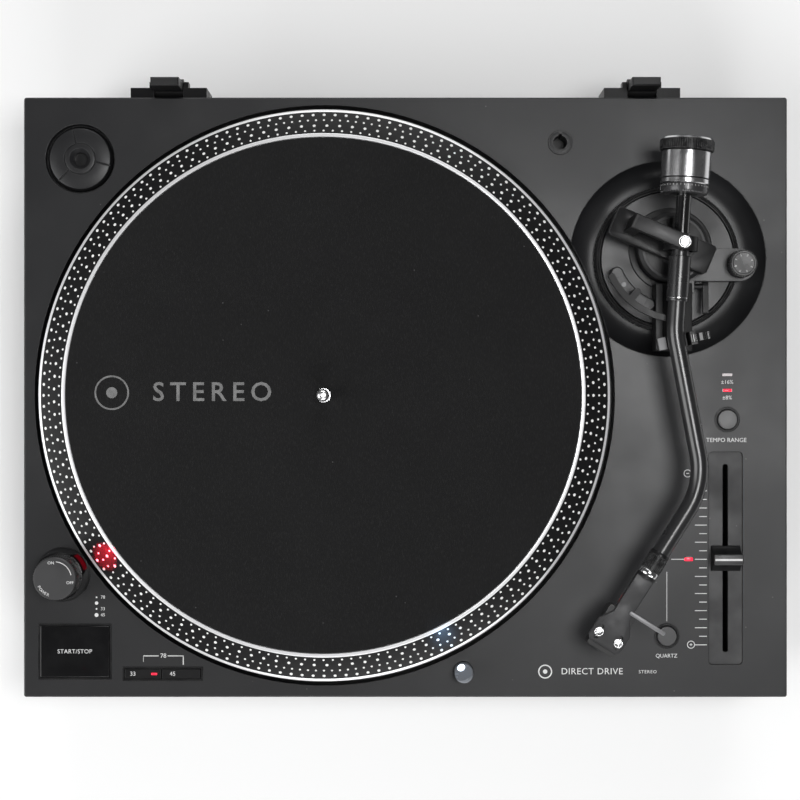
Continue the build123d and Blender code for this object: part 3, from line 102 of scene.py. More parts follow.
def along(point, direction, up=Vector((0, 0, 1))):
    """Millimetres to metres, with local +Z along a direction and local +X upwards."""
    z = Vector(direction).normalized()
    x = (up - z * up.dot(z)).normalized()
    y = z.cross(x)
    turn = Matrix((x, y, z)).transposed().to_4x4()
    return Matrix.Translation(point) @ turn @ Matrix.Scale(MM, 4)


def flat(point, direction):
    """Millimetres to metres, with local +X along a level direction and +Z up."""
    x = Vector(direction).normalized()
    z = Vector((0, 0, 1))
    turn = Matrix((x, z.cross(x), z)).transposed().to_4x4()
    return Matrix.Translation(point) @ turn @ Matrix.Scale(MM, 4)


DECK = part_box("top_cabinet")[1].z
PLATTER = joint_point("platter_spin")
PLATTER.z = DECK
DISH = joint_point("height_turn")
DISH.z = DECK
PIVOT = joint_point("arm_swing")
AHEAD = -joint_axis("weight_slide")
RUN_2 = joint_axis("clip_close")
RUN_3 = joint_axis("headshell_pull")
COLLAR_FACE = joint_point("collar_turn")
plinth_middle = middle("top_cabinet")

# The tonearm, in millimetres and degrees
ARM_RUN_1 = 50.7            # pivot to the first bend
ARM_RUN_2 = 86.9            # first bend to the second
ARM_BENDS = [50.0, 45.0]    # radii of the two bends
TUBE_BEHIND_PIVOT = 5.9
TUBE_IN_COLLAR = 11.0       # from the tube's end to the collar's face
REST_TURN = -3.7            # arm on its rest, from straight ahead
BRACKET_TURN = 157.0        # bearing bridge, from the pivot towards its post
LIFT_CIRCLE = 35.7          # radius of the lift's housing round the pivot
SCREW_LINE = 41.5           # cartridge screws, from the collar's face
SCREW_SIDE = 6.35           # from the shell's middle line


def deck_point(x, y, height=0.0):
    """A point over the deck, in millimetres from the plinth's middle."""
    return Vector((plinth_middle.x + x * MM, plinth_middle.y + y * MM, DECK + height * MM))


# ------------------------------------------------------------------ sizes and colours
def length(name, description, default):
    """A length property, given in millimetres and kept in metres."""
    return FloatProperty(name=name, description=description, default=default * MM, unit="LENGTH",
        precision=5)


def colour(name, description, default):
    """A colour property."""
    return FloatVectorProperty(
        name=name, description=description, default=default, subtype="COLOR", size=3, min=0, max=1
    )


class DeckSizes(bpy.types.PropertyGroup):
    dot_large: length("Large dots", "Radius of a dot in the two outer of each pair of rings", 1.15)
    dot_small: length("Small dots", "Radius of a dot in the two finer rings", 0.82)
    tick_long: length("Long ticks", "Length of the tempo scale's long ticks", 7.0)
    tick_short: length("Short ticks", "Length of the tempo scale's short ticks", 4.5)
    tick_width: length("Tick width", "Width of the printed ticks and lines", 0.45)
    tick_spacing: length("Tick spacing", "From one tick of the tempo scale to the next", 5.02)
    knob_teeth: IntProperty(name="Knob teeth", description="Teeth round the power knob", default=60)


class DeckColours(bpy.types.PropertyGroup):
    paint: colour("Deck paint", "Charcoal paint of the plinth", (0.0150, 0.0152, 0.0164))
    black: colour("Black", "Black plastic and black metal", (0.0075, 0.0075, 0.008))
    anodised: colour("Anodised", "Black bevel of the platter", (0.008, 0.008, 0.0085))
    felt: colour("Felt", "Mat", (0.0085, 0.0085, 0.0088))
    grey: colour("Grey parts", "Tonearm base and button tops", (0.0145, 0.0145, 0.0158))
    silver: colour("Bright metal", "Turned and polished metal", (0.80, 0.80, 0.81))
    legend: colour("Print", "Silk-screened lettering", (0.72, 0.72, 0.72))
    lamp: colour("Lamp", "Indicator lamps and strobe", (1.0, 0.015, 0.05))


# ------------------------------------------------------------------ shared node groups
def node_group(name, inputs, outputs):
    """An empty shader group with named sockets, and its two end nodes."""
    tree = bpy.data.node_groups.new(name, "ShaderNodeTree")
    for label, kind, default in inputs:
        socket = tree.interface.new_socket(label, in_out="INPUT", socket_type=kind)
        if default is not None:
            socket.default_value = default
    for label, kind in outputs:
        tree.interface.new_socket(label, in_out="OUTPUT", socket_type=kind)
    return tree, tree.nodes.new("NodeGroupInput"), tree.nodes.new("NodeGroupOutput")


def math_node(tree, operation, first, second=None, third=None, clamp=False):
    """A Math node whose inputs are sockets or numbers; returns its output."""
    node = tree.nodes.new("ShaderNodeMath")
    node.operation = operation
    node.use_clamp = clamp
    for index, value in enumerate((first, second, third)):
        if value is None:
            continue
        if isinstance(value, (int, float)):
            node.inputs[index].default_value = value
        else:
            tree.links.new(value, node.inputs[index])
    return node.outputs[0]


def ramp_node(tree, value, low, high, to_low=0.0, to_high=1.0):
    """A smooth step from one value to another; returns its output."""
    node = tree.nodes.new("ShaderNodeMapRange")
    node.interpolation_type = "SMOOTHSTEP"
    for label, number in (("From Min", low), ("From Max", high), ("To Min", to_low), ("To Max", to_high)):
        if isinstance(number, (int, float)):
            node.inputs[label].default_value = number
        else:
            tree.links.new(number, node.inputs[label])
    tree.links.new(value, node.inputs["Value"])
    return node.outputs["Result"]


def noise_node(tree, vector, scale, detail=3.0, roughness=0.55):
    """A Noise texture; returns its value."""
    node = tree.nodes.new("ShaderNodeTexNoise")
    node.inputs["Detail"].default_value = detail
    node.inputs["Roughness"].default_value = roughness
    if isinstance(scale, (int, float)):
        node.inputs["Scale"].default_value = scale
    else:
        tree.links.new(scale, node.inputs["Scale"])
    tree.links.new(vector, node.inputs["Vector"])
    return node.outputs["Fac"]


def build_edge_wear():
    """Rounds sharp edges a little and finds where handling rubs them."""
    tree, given, out = node_group(
        "Edge wear",
        [("Width", "NodeSocketFloat", 0.0004), ("Amount", "NodeSocketFloat", 0.5),
         ("Breakup", "NodeSocketFloat", 160.0)],
        [("Mask", "NodeSocketFloat"), ("Normal", "NodeSocketVector")],
    )
    bevel = tree.nodes.new("ShaderNodeBevel")
    bevel.samples = 4
    tree.links.new(given.outputs["Width"], bevel.inputs["Radius"])
    geometry = tree.nodes.new("ShaderNodeNewGeometry")
    dot = tree.nodes.new("ShaderNodeVectorMath")
    dot.operation = "DOT_PRODUCT"
    tree.links.new(bevel.outputs["Normal"], dot.inputs[0])
    tree.links.new(geometry.outputs["Normal"], dot.inputs[1])
    bent = ramp_node(tree, dot.outputs["Value"], 0.985, 0.80)
    place = tree.nodes.new("ShaderNodeTexCoord")
    patches = noise_node(tree, place.outputs["Object"], given.outputs["Breakup"])
    broken = math_node(tree, "MULTIPLY", bent, ramp_node(tree, patches, 0.38, 0.62))
    worn = math_node(tree, "MULTIPLY", broken, given.outputs["Amount"], clamp=True)
    tree.links.new(worn, out.inputs["Mask"])
    tree.links.new(bevel.outputs["Normal"], out.inputs["Normal"])
    return tree


def build_grain():
    """Fine sprayed or moulded texture, with broad soft patches in it."""
    tree, given, out = node_group(
        "Fine grain",
        [("Scale", "NodeSocketFloat", 900.0), ("Patches", "NodeSocketFloat", 14.0)],
        [("Height", "NodeSocketFloat"), ("Patch", "NodeSocketFloat"), ("Speck", "NodeSocketFloat")],
    )
    place = tree.nodes.new("ShaderNodeTexCoord")
    fine = noise_node(tree, place.outputs["Object"], given.outputs["Scale"], 2.0, 0.6)
    broad = noise_node(tree, place.outputs["Object"], given.outputs["Patches"], 4.0, 0.6)
    tree.links.new(fine, out.inputs["Height"])
    tree.links.new(ramp_node(tree, broad, 0.3, 0.7), out.inputs["Patch"])
    tree.links.new(ramp_node(tree, fine, 0.60, 0.72), out.inputs["Speck"])
    return tree


def build_dust():
    """Dust that settles on level faces: sparse motes and a thin uneven film."""
    tree, given, out = node_group(
        "Settled dust",
        [("Film", "NodeSocketFloat", 0.02), ("Motes", "NodeSocketFloat", 0.5)],
        [("Mask", "NodeSocketFloat")],
    )
    place = tree.nodes.new("ShaderNodeTexCoord")
    geometry = tree.nodes.new("ShaderNodeNewGeometry")
    parts = tree.nodes.new("ShaderNodeSeparateXYZ")
    tree.links.new(geometry.outputs["Normal"], parts.inputs[0])
    level = ramp_node(tree, parts.outputs["Z"], 0.55, 0.98)
    cells = tree.nodes.new("ShaderNodeTexVoronoi")
    cells.inputs["Scale"].default_value = 190.0
    tree.links.new(place.outputs["Object"], cells.inputs["Vector"])
    pick = tree.nodes.new("ShaderNodeSeparateColor")
    tree.links.new(cells.outputs["Color"], pick.inputs[0])
    chosen = ramp_node(tree, pick.outputs[0], 0.93, 0.96)
    mote = math_node(tree, "MULTIPLY", ramp_node(tree, cells.outputs["Distance"], 0.10, 0.04), chosen)
    motes = math_node(tree, "MULTIPLY", mote, given.outputs["Motes"])
    clouds = ramp_node(tree, noise_node(tree, place.outputs["Object"], 22.0, 5.0, 0.65), 0.35, 0.75)
    film = math_node(tree, "MULTIPLY", clouds, given.outputs["Film"])
    both = math_node(tree, "ADD", motes, film)
    tree.links.new(math_node(tree, "MULTIPLY", both, level, clamp=True), out.inputs["Mask"])
    return tree


def build_turning():
    """Concentric tool marks round a vertical axis through Centre."""
    tree, given, out = node_group(
        "Turning marks",
        [("Centre", "NodeSocketVector", None), ("Rings", "NodeSocketFloat", 2600.0)],
        [("Height", "NodeSocketFloat"), ("Band", "NodeSocketFloat")],
    )
    place = tree.nodes.new("ShaderNodeTexCoord")
    shift = tree.nodes.new("ShaderNodeVectorMath")
    shift.operation = "SUBTRACT"
    tree.links.new(place.outputs["Object"], shift.inputs[0])
    tree.links.new(given.outputs["Centre"], shift.inputs[1])
    parts = tree.nodes.new("ShaderNodeSeparateXYZ")
    tree.links.new(shift.outputs[0], parts.inputs[0])
    squares = math_node(
        tree, "ADD", math_node(tree, "POWER", parts.outputs["X"], 2.0),
        math_node(tree, "POWER", parts.outputs["Y"], 2.0)
    )
    radius = math_node(tree, "SQRT", squares)
    joined = tree.nodes.new("ShaderNodeCombineXYZ")
    tree.links.new(radius, joined.inputs["X"])
    tree.links.new(parts.outputs["Z"], joined.inputs["Z"])
    lines = noise_node(tree, joined.outputs[0], given.outputs["Rings"], 2.0, 0.7)
    tree.links.new(lines, out.inputs["Height"])
    tree.links.new(ramp_node(tree, lines, 0.35, 0.65), out.inputs["Band"])
    return tree


GROUPS = {}


# ------------------------------------------------------------------ materials
class Finish:
    """One material: a Principled shader and the shared groups that feed it."""

    def __init__(self, name, base, roughness, metallic=0.0, specular=0.5, coat=0.0, coat_roughness=0.1):
        self.material = bpy.data.materials.new(name)
        self.material.use_nodes = True
        self.tree = self.material.node_tree
        self.shader = self.tree.nodes["Principled BSDF"]
        self.base = (*base, 1.0)
        self.colour = None
        self.rough = roughness
        self.normal = None
        self.shader.inputs["Base Color"].default_value = self.base
        self.shader.inputs["Roughness"].default_value = roughness
        self.shader.inputs["Metallic"].default_value = metallic
        self.shader.inputs["Specular IOR Level"].default_value = specular
        self.shader.inputs["Coat Weight"].default_value = coat
        self.shader.inputs["Coat Roughness"].default_value = coat_roughness

    def group(self, key, **values):
        """Adds one of the shared groups to the material."""
        node = self.tree.nodes.new("ShaderNodeGroup")
        node.node_tree = GROUPS[key]
        for label, value in values.items():
            node.inputs[label].default_value = value
        return node

    def mix(self, mask, tint):
        """Lays another colour over the base where the mask is."""
        node = self.tree.nodes.new("ShaderNodeMix")
        node.data_type = "RGBA"
        self.tree.links.new(mask, node.inputs[0])
        if self.colour is None:
            node.inputs[6].default_value = self.base
        else:
            self.tree.links.new(self.colour, node.inputs[6])
        node.inputs[7].default_value = (*tint, 1.0)
        self.colour = node.outputs[2]
        self.tree.links.new(self.colour, self.shader.inputs["Base Color"])

    def vary(self, value, low, high):
        """Roughness that runs from low to high with a value."""
        self.rough = ramp_node(self.tree, value, 0.0, 1.0, low, high)
        self.tree.links.new(self.rough, self.shader.inputs["Roughness"])

    def bump(self, height, distance, strength=1.0):
        """Adds a bump on top of the normal so far."""
        node = self.tree.nodes.new("ShaderNodeBump")
        node.inputs["Strength"].default_value = strength
        node.inputs["Distance"].default_value = distance
        self.tree.links.new(height, node.inputs["Height"])
        if self.normal is not None:
            self.tree.links.new(self.normal, node.inputs["Normal"])
        self.normal = node.outputs["Normal"]
        self.tree.links.new(self.normal, self.shader.inputs["Normal"])

    def worn(self, width, amount, tint, breakup=160.0):
        """Rubbed edges, which also round a sharp edge's shading."""
        node = self.group("wear", Width=width, Amount=amount, Breakup=breakup)
        self.mix(node.outputs["Mask"], tint)
        self.normal = node.outputs["Normal"]
        self.tree.links.new(self.normal, self.shader.inputs["Normal"])
        return self

    def grained(self, scale, depth, low, high, patches=14.0, tint=None, tint_by="Patch"):
        """Fine bump, roughness patches and, if given, a second tone."""
        node = self.group("grain", Scale=scale, Patches=patches)
        if tint is not None:
            self.mix(node.outputs[tint_by], tint)
        self.vary(node.outputs["Patch"], low, high)
        self.bump(node.outputs["Height"], depth)
        return self

    def dusty(self, film=0.02, motes=0.4, tint=(0.32, 0.31, 0.30)):
        """Settled dust on level faces."""
        node = self.group("dust", Film=film, Motes=motes)
        self.mix(node.outputs["Mask"], tint)
        return self

    def turned(self, centre, rings, depth, low, high):
        """Tool marks round a vertical axis."""
        node = self.group("turning", Rings=rings)
        node.inputs["Centre"].default_value = centre
        self.vary(node.outputs["Band"], low, high)
        self.bump(node.outputs["Height"], depth)
        return self

    def glowing(self, tint, strength):
        """Makes the surface give light."""
        self.shader.inputs["Emission Color"].default_value = (*tint, 1.0)
        self.shader.inputs["Emission Strength"].default_value = strength
        return self


def lighter(tint, share):
    """A tone part of the way from a colour to white."""
    return tuple(channel + (1.0 - channel) * share for channel in tint)


def darker(tint, share):
    """A tone part of the way from a colour to black."""
    return tuple(channel * (1.0 - share) for channel in tint)


FINISHES = {}


def make_finishes(colours):
    """Builds the shared groups and every material."""
    GROUPS.update(wear=build_edge_wear(), grain=build_grain(), dust=build_dust(), turning=build_turning())
    paint, black, grey = tuple(colours.paint), tuple(colours.black), tuple(colours.grey)
    silver, legend, lamp = tuple(colours.silver), tuple(colours.legend), tuple(colours.lamp)
    plates = {
        "deck paint": Finish("deck paint", paint, 0.38, specular=0.38)
        .worn(0.0005, 0.35, lighter(paint, 0.16)).grained(2600.0, 0.000018, 0.34, 0.42, 9.0,
            darker(paint, 0.12))
        .dusty(0.012, 0.30),
        "base rubber": Finish("base rubber", darker(black, 0.1), 0.7, specular=0.3)
        .worn(0.0006, 0.25, lighter(black, 0.08)).grained(1500.0, 0.00005, 0.62, 0.8).dusty(0.03, 0.3),
        "anodised bevel": Finish("anodised bevel", tuple(colours.anodised), 0.4, specular=0.22)
        .turned(tuple(PLATTER), 2400.0, 0.000008, 0.34, 0.46).dusty(0.004, 0.15),
        "turned edge": Finish("turned edge", silver, 0.35, metallic=0.45)
        .turned(tuple(PLATTER), 3600.0, 0.00001, 0.3, 0.45),
        "strobe dot": Finish("strobe dot", (0.90, 0.90, 0.89), 0.4)
        .grained(3000.0, 0.00001, 0.32, 0.5, 60.0),
        "felt": felt_finish(tuple(colours.felt)),
        "polished steel": Finish("polished steel", silver, 0.24, metallic=1.0)
        .grained(900.0, 0.000003, 0.2, 0.3, 80.0),
        "finger metal": Finish("finger metal", (0.20, 0.20, 0.205), 0.42, metallic=0.5).worn(0.0003, 0.5,
        (0.6, 0.6, 0.6))
        .grained(1200.0, 0.000006, 0.38, 0.5, 60.0),
        "chrome": Finish("chrome", (0.66, 0.66, 0.67), 0.2, metallic=1.0)
        .grained(1200.0, 0.000003, 0.17, 0.25, 60.0),
        "black gloss": Finish("black gloss", black, 0.16, specular=0.6, coat=0.6, coat_roughness=0.05)
        .worn(0.0003, 0.2, lighter(black, 0.12)).grained(700.0, 0.000006, 0.12, 0.2, 40.0),
        "black satin": Finish("black satin", black, 0.34, specular=0.2)
        .worn(0.0004, 0.4, lighter(black, 0.16)).grained(2200.0, 0.00002, 0.29, 0.42, 30.0).dusty(0.01,
            0.2),
        "black plastic": Finish("black plastic", black, 0.45, specular=0.45)
        .worn(0.0004, 0.3, lighter(black, 0.1)).grained(1900.0, 0.00003, 0.4, 0.55, 24.0).dusty(0.015,
            0.25),
        "knurl": Finish("knurl", black, 0.34, specular=0.3)
        .worn(0.0003, 0.6, lighter(black, 0.22), 400.0).grained(2400.0, 0.00001, 0.22, 0.36, 60.0),
        "arm base grey": Finish("arm base grey", grey, 0.4, specular=0.45)
        .worn(0.0004, 0.3, lighter(grey, 0.12)).grained(2400.0, 0.000018, 0.34, 0.46, 22.0,
            darker(grey, 0.14))
        .dusty(0.012, 0.3),
        "slider grey": Finish("slider grey", lighter(grey, 0.045), 0.46, specular=0.4)
        .worn(0.0003, 0.3, lighter(grey, 0.1)).grained(3000.0, 0.00002, 0.42, 0.54, 18.0, darker(grey, 0.1))
        .dusty(0.012, 0.3),
        "button grey": Finish("button grey", lighter(grey, 0.018), 0.38, specular=0.5)
        .worn(0.0003, 0.35, lighter(grey, 0.16)).grained(1800.0, 0.00001, 0.32, 0.44, 40.0).dusty(0.01,
            0.2),
        "bridge grey": Finish("bridge grey", (0.024, 0.024, 0.025), 0.36, specular=0.4)
        .worn(0.0004, 0.7, (0.2, 0.2, 0.2)).grained(2400.0, 0.00001, 0.3, 0.42, 40.0).dusty(0.01, 0.2),
        "legend": Finish("legend", legend, 0.55).grained(2500.0, 0.000006, 0.5, 0.65, 300.0,
        darker(legend, 0.12)),
        "mat print": Finish("mat print", (0.20, 0.20, 0.20), 0.8, specular=0.2)
        .grained(1400.0, 0.00004, 0.7, 0.9, 200.0, (0.14, 0.14, 0.14)),
        "lamp shell": Finish("lamp shell", (0.20, 0.215, 0.24), 0.3, metallic=0.3)
        .worn(0.0004, 0.3, (0.3, 0.3, 0.3)).grained(1500.0, 0.00001, 0.22, 0.36, 60.0),
        "tube gloss": Finish("tube gloss", (0.014, 0.014, 0.015), 0.3, specular=0.6, coat=0.35,
        coat_roughness=0.16)
        .grained(700.0, 0.000004, 0.26, 0.34, 30.0).dusty(0.006, 0.15),
        "dial black": Finish("dial black", (0.06, 0.06, 0.062), 0.24, metallic=0.6, specular=0.6)
        .worn(0.0003, 0.5, (0.35, 0.35, 0.36), 300.0).grained(1500.0, 0.000006, 0.18, 0.32, 60.0),
        "shell grey": Finish("shell grey", (0.026, 0.026, 0.028), 0.46, specular=0.4)
        .worn(0.0003, 0.35, lighter(grey, 0.16)).grained(2600.0, 0.00001, 0.36, 0.5, 60.0,
            darker(grey, 0.1)).dusty(0.01, 0.2),
        "rest pad": Finish("rest pad", (0.2, 0.2, 0.205), 0.5).grained(1800.0, 0.00002, 0.42, 0.56, 80.0),
        "lamp lit": Finish("lamp lit", (0.5, 0.01, 0.02), 0.25).glowing(lamp, 1.6).grained(900.0, 0.00001,
        0.2, 0.3),
        "lamp dark": Finish("lamp dark", (0.05, 0.006, 0.008), 0.2, specular=0.6).grained(900.0, 0.00001,
        0.16, 0.26),
        "strobe window": Finish("strobe window", (0.10, 0.002, 0.004), 0.14, specular=0.6)
        .glowing(lamp, 0.06).grained(500.0, 0.00004, 0.1, 0.2),
        "white lens": Finish("white lens", (0.8, 0.85, 0.9), 0.12, specular=0.6)
        .glowing((0.75, 0.87, 1.0), 2.2).grained(600.0, 0.00002, 0.08, 0.16),
        "gold": Finish("gold", (0.83, 0.60, 0.24), 0.2, metallic=1.0).grained(900.0, 0.000006, 0.14, 0.28,
        60.0),
        "zinc": Finish("zinc", (0.50, 0.50, 0.51), 0.35, metallic=1.0).worn(0.0003, 0.3, (0.75, 0.75, 0.76))
        .grained(900.0, 0.00001, 0.28, 0.45, 50.0),
        "circuit board": Finish("circuit board", (0.012, 0.10, 0.035), 0.35).worn(0.0003, 0.4,
        (0.25, 0.3, 0.2))
        .grained(400.0, 0.00002, 0.28, 0.42, 120.0, (0.02, 0.15, 0.05), "Speck"),
        "red plastic": Finish("red plastic", (0.55, 0.02, 0.02), 0.35).grained(1500.0, 0.00001, 0.3, 0.4),
        "white plastic": Finish("white plastic", (0.7, 0.7, 0.68), 0.35).grained(1500.0, 0.00001, 0.3, 0.4),
        "blue wire": Finish("blue wire", (0.02, 0.08, 0.4), 0.35).grained(1500.0, 0.00001, 0.3, 0.4),
        "green wire": Finish("green wire", (0.02, 0.3, 0.06), 0.35).grained(1500.0, 0.00001, 0.3, 0.4),
        "dark bore": Finish("dark bore", (0.014, 0.014, 0.015), 0.7, specular=0.1).grained(900.0, 0.00002,
        0.7, 0.9),
    }
    for name, finish in plates.items():
        FINISHES[name] = finish.material


def felt_finish(tint):
    """Pressed wool: short crossing fibres, a soft sheen and a little lint."""
    finish = Finish("felt", tint, 0.95, specular=0.12)
    finish.shader.inputs["Sheen Weight"].default_value = 0.10
    finish.shader.inputs["Sheen Roughness"].default_value = 0.5
    place = finish.tree.nodes.new("ShaderNodeTexCoord")
    heights = []
    for turn, stretch in ((25.0, 5.0), (115.0, 6.0)):
        mapping = finish.tree.nodes.new("ShaderNodeMapping")
        mapping.inputs["Rotation"].default_value = (0, 0, radians(turn))
        mapping.inputs["Scale"].default_value = (stretch, 1.0, 1.0)
        finish.tree.links.new(place.outputs["Object"], mapping.inputs["Vector"])
        heights.append(noise_node(finish.tree, mapping.outputs[0], 420.0, 4.0, 0.7))
    fibres = math_node(finish.tree, "MAXIMUM", *heights)
    finish.mix(ramp_node(finish.tree, fibres, 0.52, 0.75), lighter(tint, 0.012))
    finish.bump(fibres, 0.00012, 0.8)
    finish.dusty(0.006, 0.22, (0.24, 0.24, 0.24))
    return finish


# ------------------------------------------------------------------ mesh tools
def lathe(profile, steps=96, closed=False):
    """Spins a profile of (radius, height) points about local Z. An open profile runs axis to axis."""
    bm = bmesh.new()
    verts = [bm.verts.new((radius, 0, height)) for radius, height in profile]
    edges = [bm.edges.new(pair) for pair in zip(verts, verts[1:])]
    if closed:
        edges.append(bm.edges.new((verts[-1], verts[0])))
    bmesh.ops.spin(
        bm, geom=verts + edges, cent=(0, 0, 0), axis=(0, 0, 1), angle=2 * pi, steps=steps, use_merge=True
    )
    bmesh.ops.remove_doubles(bm, verts=bm.verts, dist=1e-4)
    bmesh.ops.recalc_face_normals(bm, faces=bm.faces)
    return bm


def soften(bm, width, segments=2, angle=30.0, pick=None):
    """Bevels the edges that are sharper than an angle."""
    edges = [
        edge for edge in bm.edges
        if len(edge.link_faces) == 2 and edge.calc_face_angle(0) > radians(angle)
        and (pick is None or pick(edge))
    ]
    bmesh.ops.bevel(
        bm, geom=edges, offset=width, segments=segments, profile=0.5, affect="EDGES",
        clamp_overlap=True, material=-1,
    )
    return bm


def block(width, depth, height, corner=0.0, steps=5):
    """A box on local Z = 0, with its upright edges rounded."""
    bm = bmesh.new()
    bmesh.ops.create_cube(bm, size=1.0)
    bmesh.ops.scale(bm, vec=(width, depth, height), verts=bm.verts)
    bmesh.ops.translate(bm, vec=(0, 0, height / 2), verts=bm.verts)
    if corner:
        edges = [edge for edge in bm.edges if abs(edge.verts[0].co.z - edge.verts[1].co.z) > height / 2]
        bmesh.ops.bevel(bm, geom=edges, offset=corner, segments=steps, profile=0.5, affect="EDGES",
                        material=-1)
    return bm


def prism(outline, height):
    """An upright solid over a closed outline of (x, y) points."""
    bm = bmesh.new()
    face = bm.faces.new([bm.verts.new((x, y, 0)) for x, y in outline])
    raised = bmesh.ops.extrude_face_region(bm, geom=[face])
    moved = [item for item in raised["geom"] if isinstance(item, bmesh.types.BMVert)]
    bmesh.ops.translate(bm, vec=(0, 0, height), verts=moved)
    bmesh.ops.recalc_face_normals(bm, faces=bm.faces)
    return bm


def arc_points(radius, start, end, steps, centre=(0.0, 0.0)):
    """Points along an arc, angles in degrees."""
    angles = [radians(start + (end - start) * step / steps) for step in range(steps + 1)]
    return [(centre[0] + radius * cos(angle), centre[1] + radius * sin(angle)) for angle in angles]


def merge(bm, other, matrix=None, material=None):
    """Adds another bmesh to this one, placed by a matrix."""
    if matrix is not None:
        bmesh.ops.transform(other, matrix=matrix, verts=other.verts)
    if material is not None:
        for face in other.faces:
            face.material_index = material
    mesh = bpy.data.meshes.new("merge")
    other.to_mesh(mesh)
    other.free()
    bm.from_mesh(mesh)
    bpy.data.meshes.remove(mesh)
    return bm


def shift(x=0.0, y=0.0, z=0.0, turn=0.0):
    """A move, after a turn about the vertical by degrees."""
    return Matrix.Translation((x, y, z)) @ Matrix.Rotation(radians(turn), 4, "Z")


def paint_faces(bm, index, test):
    """Gives a material to the faces that a test of centre and normal picks."""
    for face in bm.faces:
        if test(face.calc_center_median(), face.normal):
            face.material_index = index


def carve(name, bm, cutters):
    """Cuts solids out of a solid with an exact boolean; all are in the same local frame."""
    scene = bpy.context.scene
    mesh = bpy.data.meshes.new(name)
    bm.to_mesh(mesh)
    bm.free()
    body = bpy.data.objects.new(name, mesh)
    scene.collection.objects.link(body)
    tools = []
    for index, cutter in enumerate(cutters):
        tool_mesh = bpy.data.meshes.new(f"{name}-cut-{index}")
        cutter.to_mesh(tool_mesh)
        cutter.free()
        tool = bpy.data.objects.new(tool_mesh.name, tool_mesh)
        scene.collection.objects.link(tool)
        modifier = body.modifiers.new("Cut", "BOOLEAN")
        modifier.operation = "DIFFERENCE"
        modifier.solver = "EXACT"
        modifier.object = tool
        tools.append(tool)
    bpy.context.view_layer.update()
    done = bpy.data.meshes.new_from_object(body.evaluated_get(bpy.context.evaluated_depsgraph_get()))
    result = bmesh.new()
    result.from_mesh(done)
    bpy.data.meshes.remove(done)
    for thing in [body, *tools]:
        data = thing.data
        bpy.data.objects.remove(thing)
        bpy.data.meshes.remove(data)
    return result


def put(name, bm, place, finishes, body, replaced=(), sharp=32.0):
    """Makes a finished piece from a bmesh drawn in millimetres, and has it ride on its body."""
    bmesh.ops.transform(bm, matrix=place, verts=bm.verts)
    mesh = bpy.data.meshes.new(name)
    bm.to_mesh(mesh)
    bm.free()
    mesh.shade_smooth()
    mesh.set_sharp_from_angle(angle=radians(sharp))
    piece = bpy.data.objects.new(name, mesh)
    bpy.context.scene.collection.objects.link(piece)
    for finish in [finishes] if isinstance(finishes, str) else finishes:
        mesh.materials.append(FINISHES[finish])
    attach(piece, body)
    if replaced:
        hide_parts(*replaced)
    return piece


def finish_node(node, finish):
    """Gives a carried-over node its material."""
    mesh = frame["nodes"][node].data
    mesh.materials.clear()
    mesh.materials.append(FINISHES[finish])


def lettering(name, words, place, height, finish, body, depth=0.06, spacing=1.0, bold=0.0):
    """Printed words as a thin mesh, lying in the local XY plane and centred."""
    curve = bpy.data.curves.new(name, "FONT")
    curve.body = words
    curve.size = height * 1.4
    curve.align_x = "CENTER"
    curve.align_y = "CENTER"
    curve.space_character = spacing
    curve.extrude = depth / 2
    curve.offset = bold
    curve.resolution_u = 3
    source = bpy.data.objects.new(name, curve)
    bpy.context.scene.collection.objects.link(source)
    bpy.context.view_layer.update()
    mesh = bpy.data.meshes.new_from_object(source.evaluated_get(bpy.context.evaluated_depsgraph_get()))
    bpy.data.objects.remove(source)
    bpy.data.curves.remove(curve)
    bm = bmesh.new()
    bm.from_mesh(mesh)
    bpy.data.meshes.remove(mesh)
    bmesh.ops.remove_doubles(bm, verts=bm.verts, dist=1e-5)
    for face in bm.faces:
        face.material_index = 0
    return put(name, bm, place, finish, body)


def pipe(name, points, radius, finishes, body, replaced=(), sides=8, smooth=True):
    """A round bar or wire along points in metres, closed at its ends."""
    curve = bpy.data.curves.new(name, "CURVE")
    curve.dimensions = "3D"
    curve.bevel_depth = radius * MM
    curve.bevel_resolution = sides
    curve.use_fill_caps = True
    curve.resolution_u = 12
    spline = curve.splines.new("NURBS" if smooth else "POLY")
    spline.points.add(len(points) - 1)
    for point, place in zip(spline.points, points):
        point.co = (*place, 1.0)
    if smooth:
        spline.order_u = 3
        spline.use_endpoint_u = True
    source = bpy.data.objects.new(name, curve)
    bpy.context.scene.collection.objects.link(source)
    bpy.context.view_layer.update()
    mesh = bpy.data.meshes.new_from_object(source.evaluated_get(bpy.context.evaluated_depsgraph_get()))
    bpy.data.objects.remove(source)
    bpy.data.curves.remove(curve)
    bm = bmesh.new()
    bm.from_mesh(mesh)
    bpy.data.meshes.remove(mesh)
    bmesh.ops.remove_doubles(bm, verts=bm.verts, dist=1e-7)
    bmesh.ops.recalc_face_normals(bm, faces=bm.faces)
    return put(name, bm, Matrix.Identity(4), finishes, body, replaced)


def ribs(bm, count, radius, low, high, width, rise, material=0):
    """Small upright bars all round a cylinder, half sunk in it."""
    for index in range(count):
        turn = Matrix.Rotation(2 * pi * index / count, 4, "Z")
        place = turn @ Matrix.Translation((radius, 0, (low + high) / 2))
        size = Matrix.Diagonal((rise * 2, width, high - low, 1))
        made = bmesh.ops.create_cube(bm, size=1.0, matrix=place @ size)
        for vert in made["verts"]:
            for face in vert.link_faces:
                face.material_index = material
    return bm


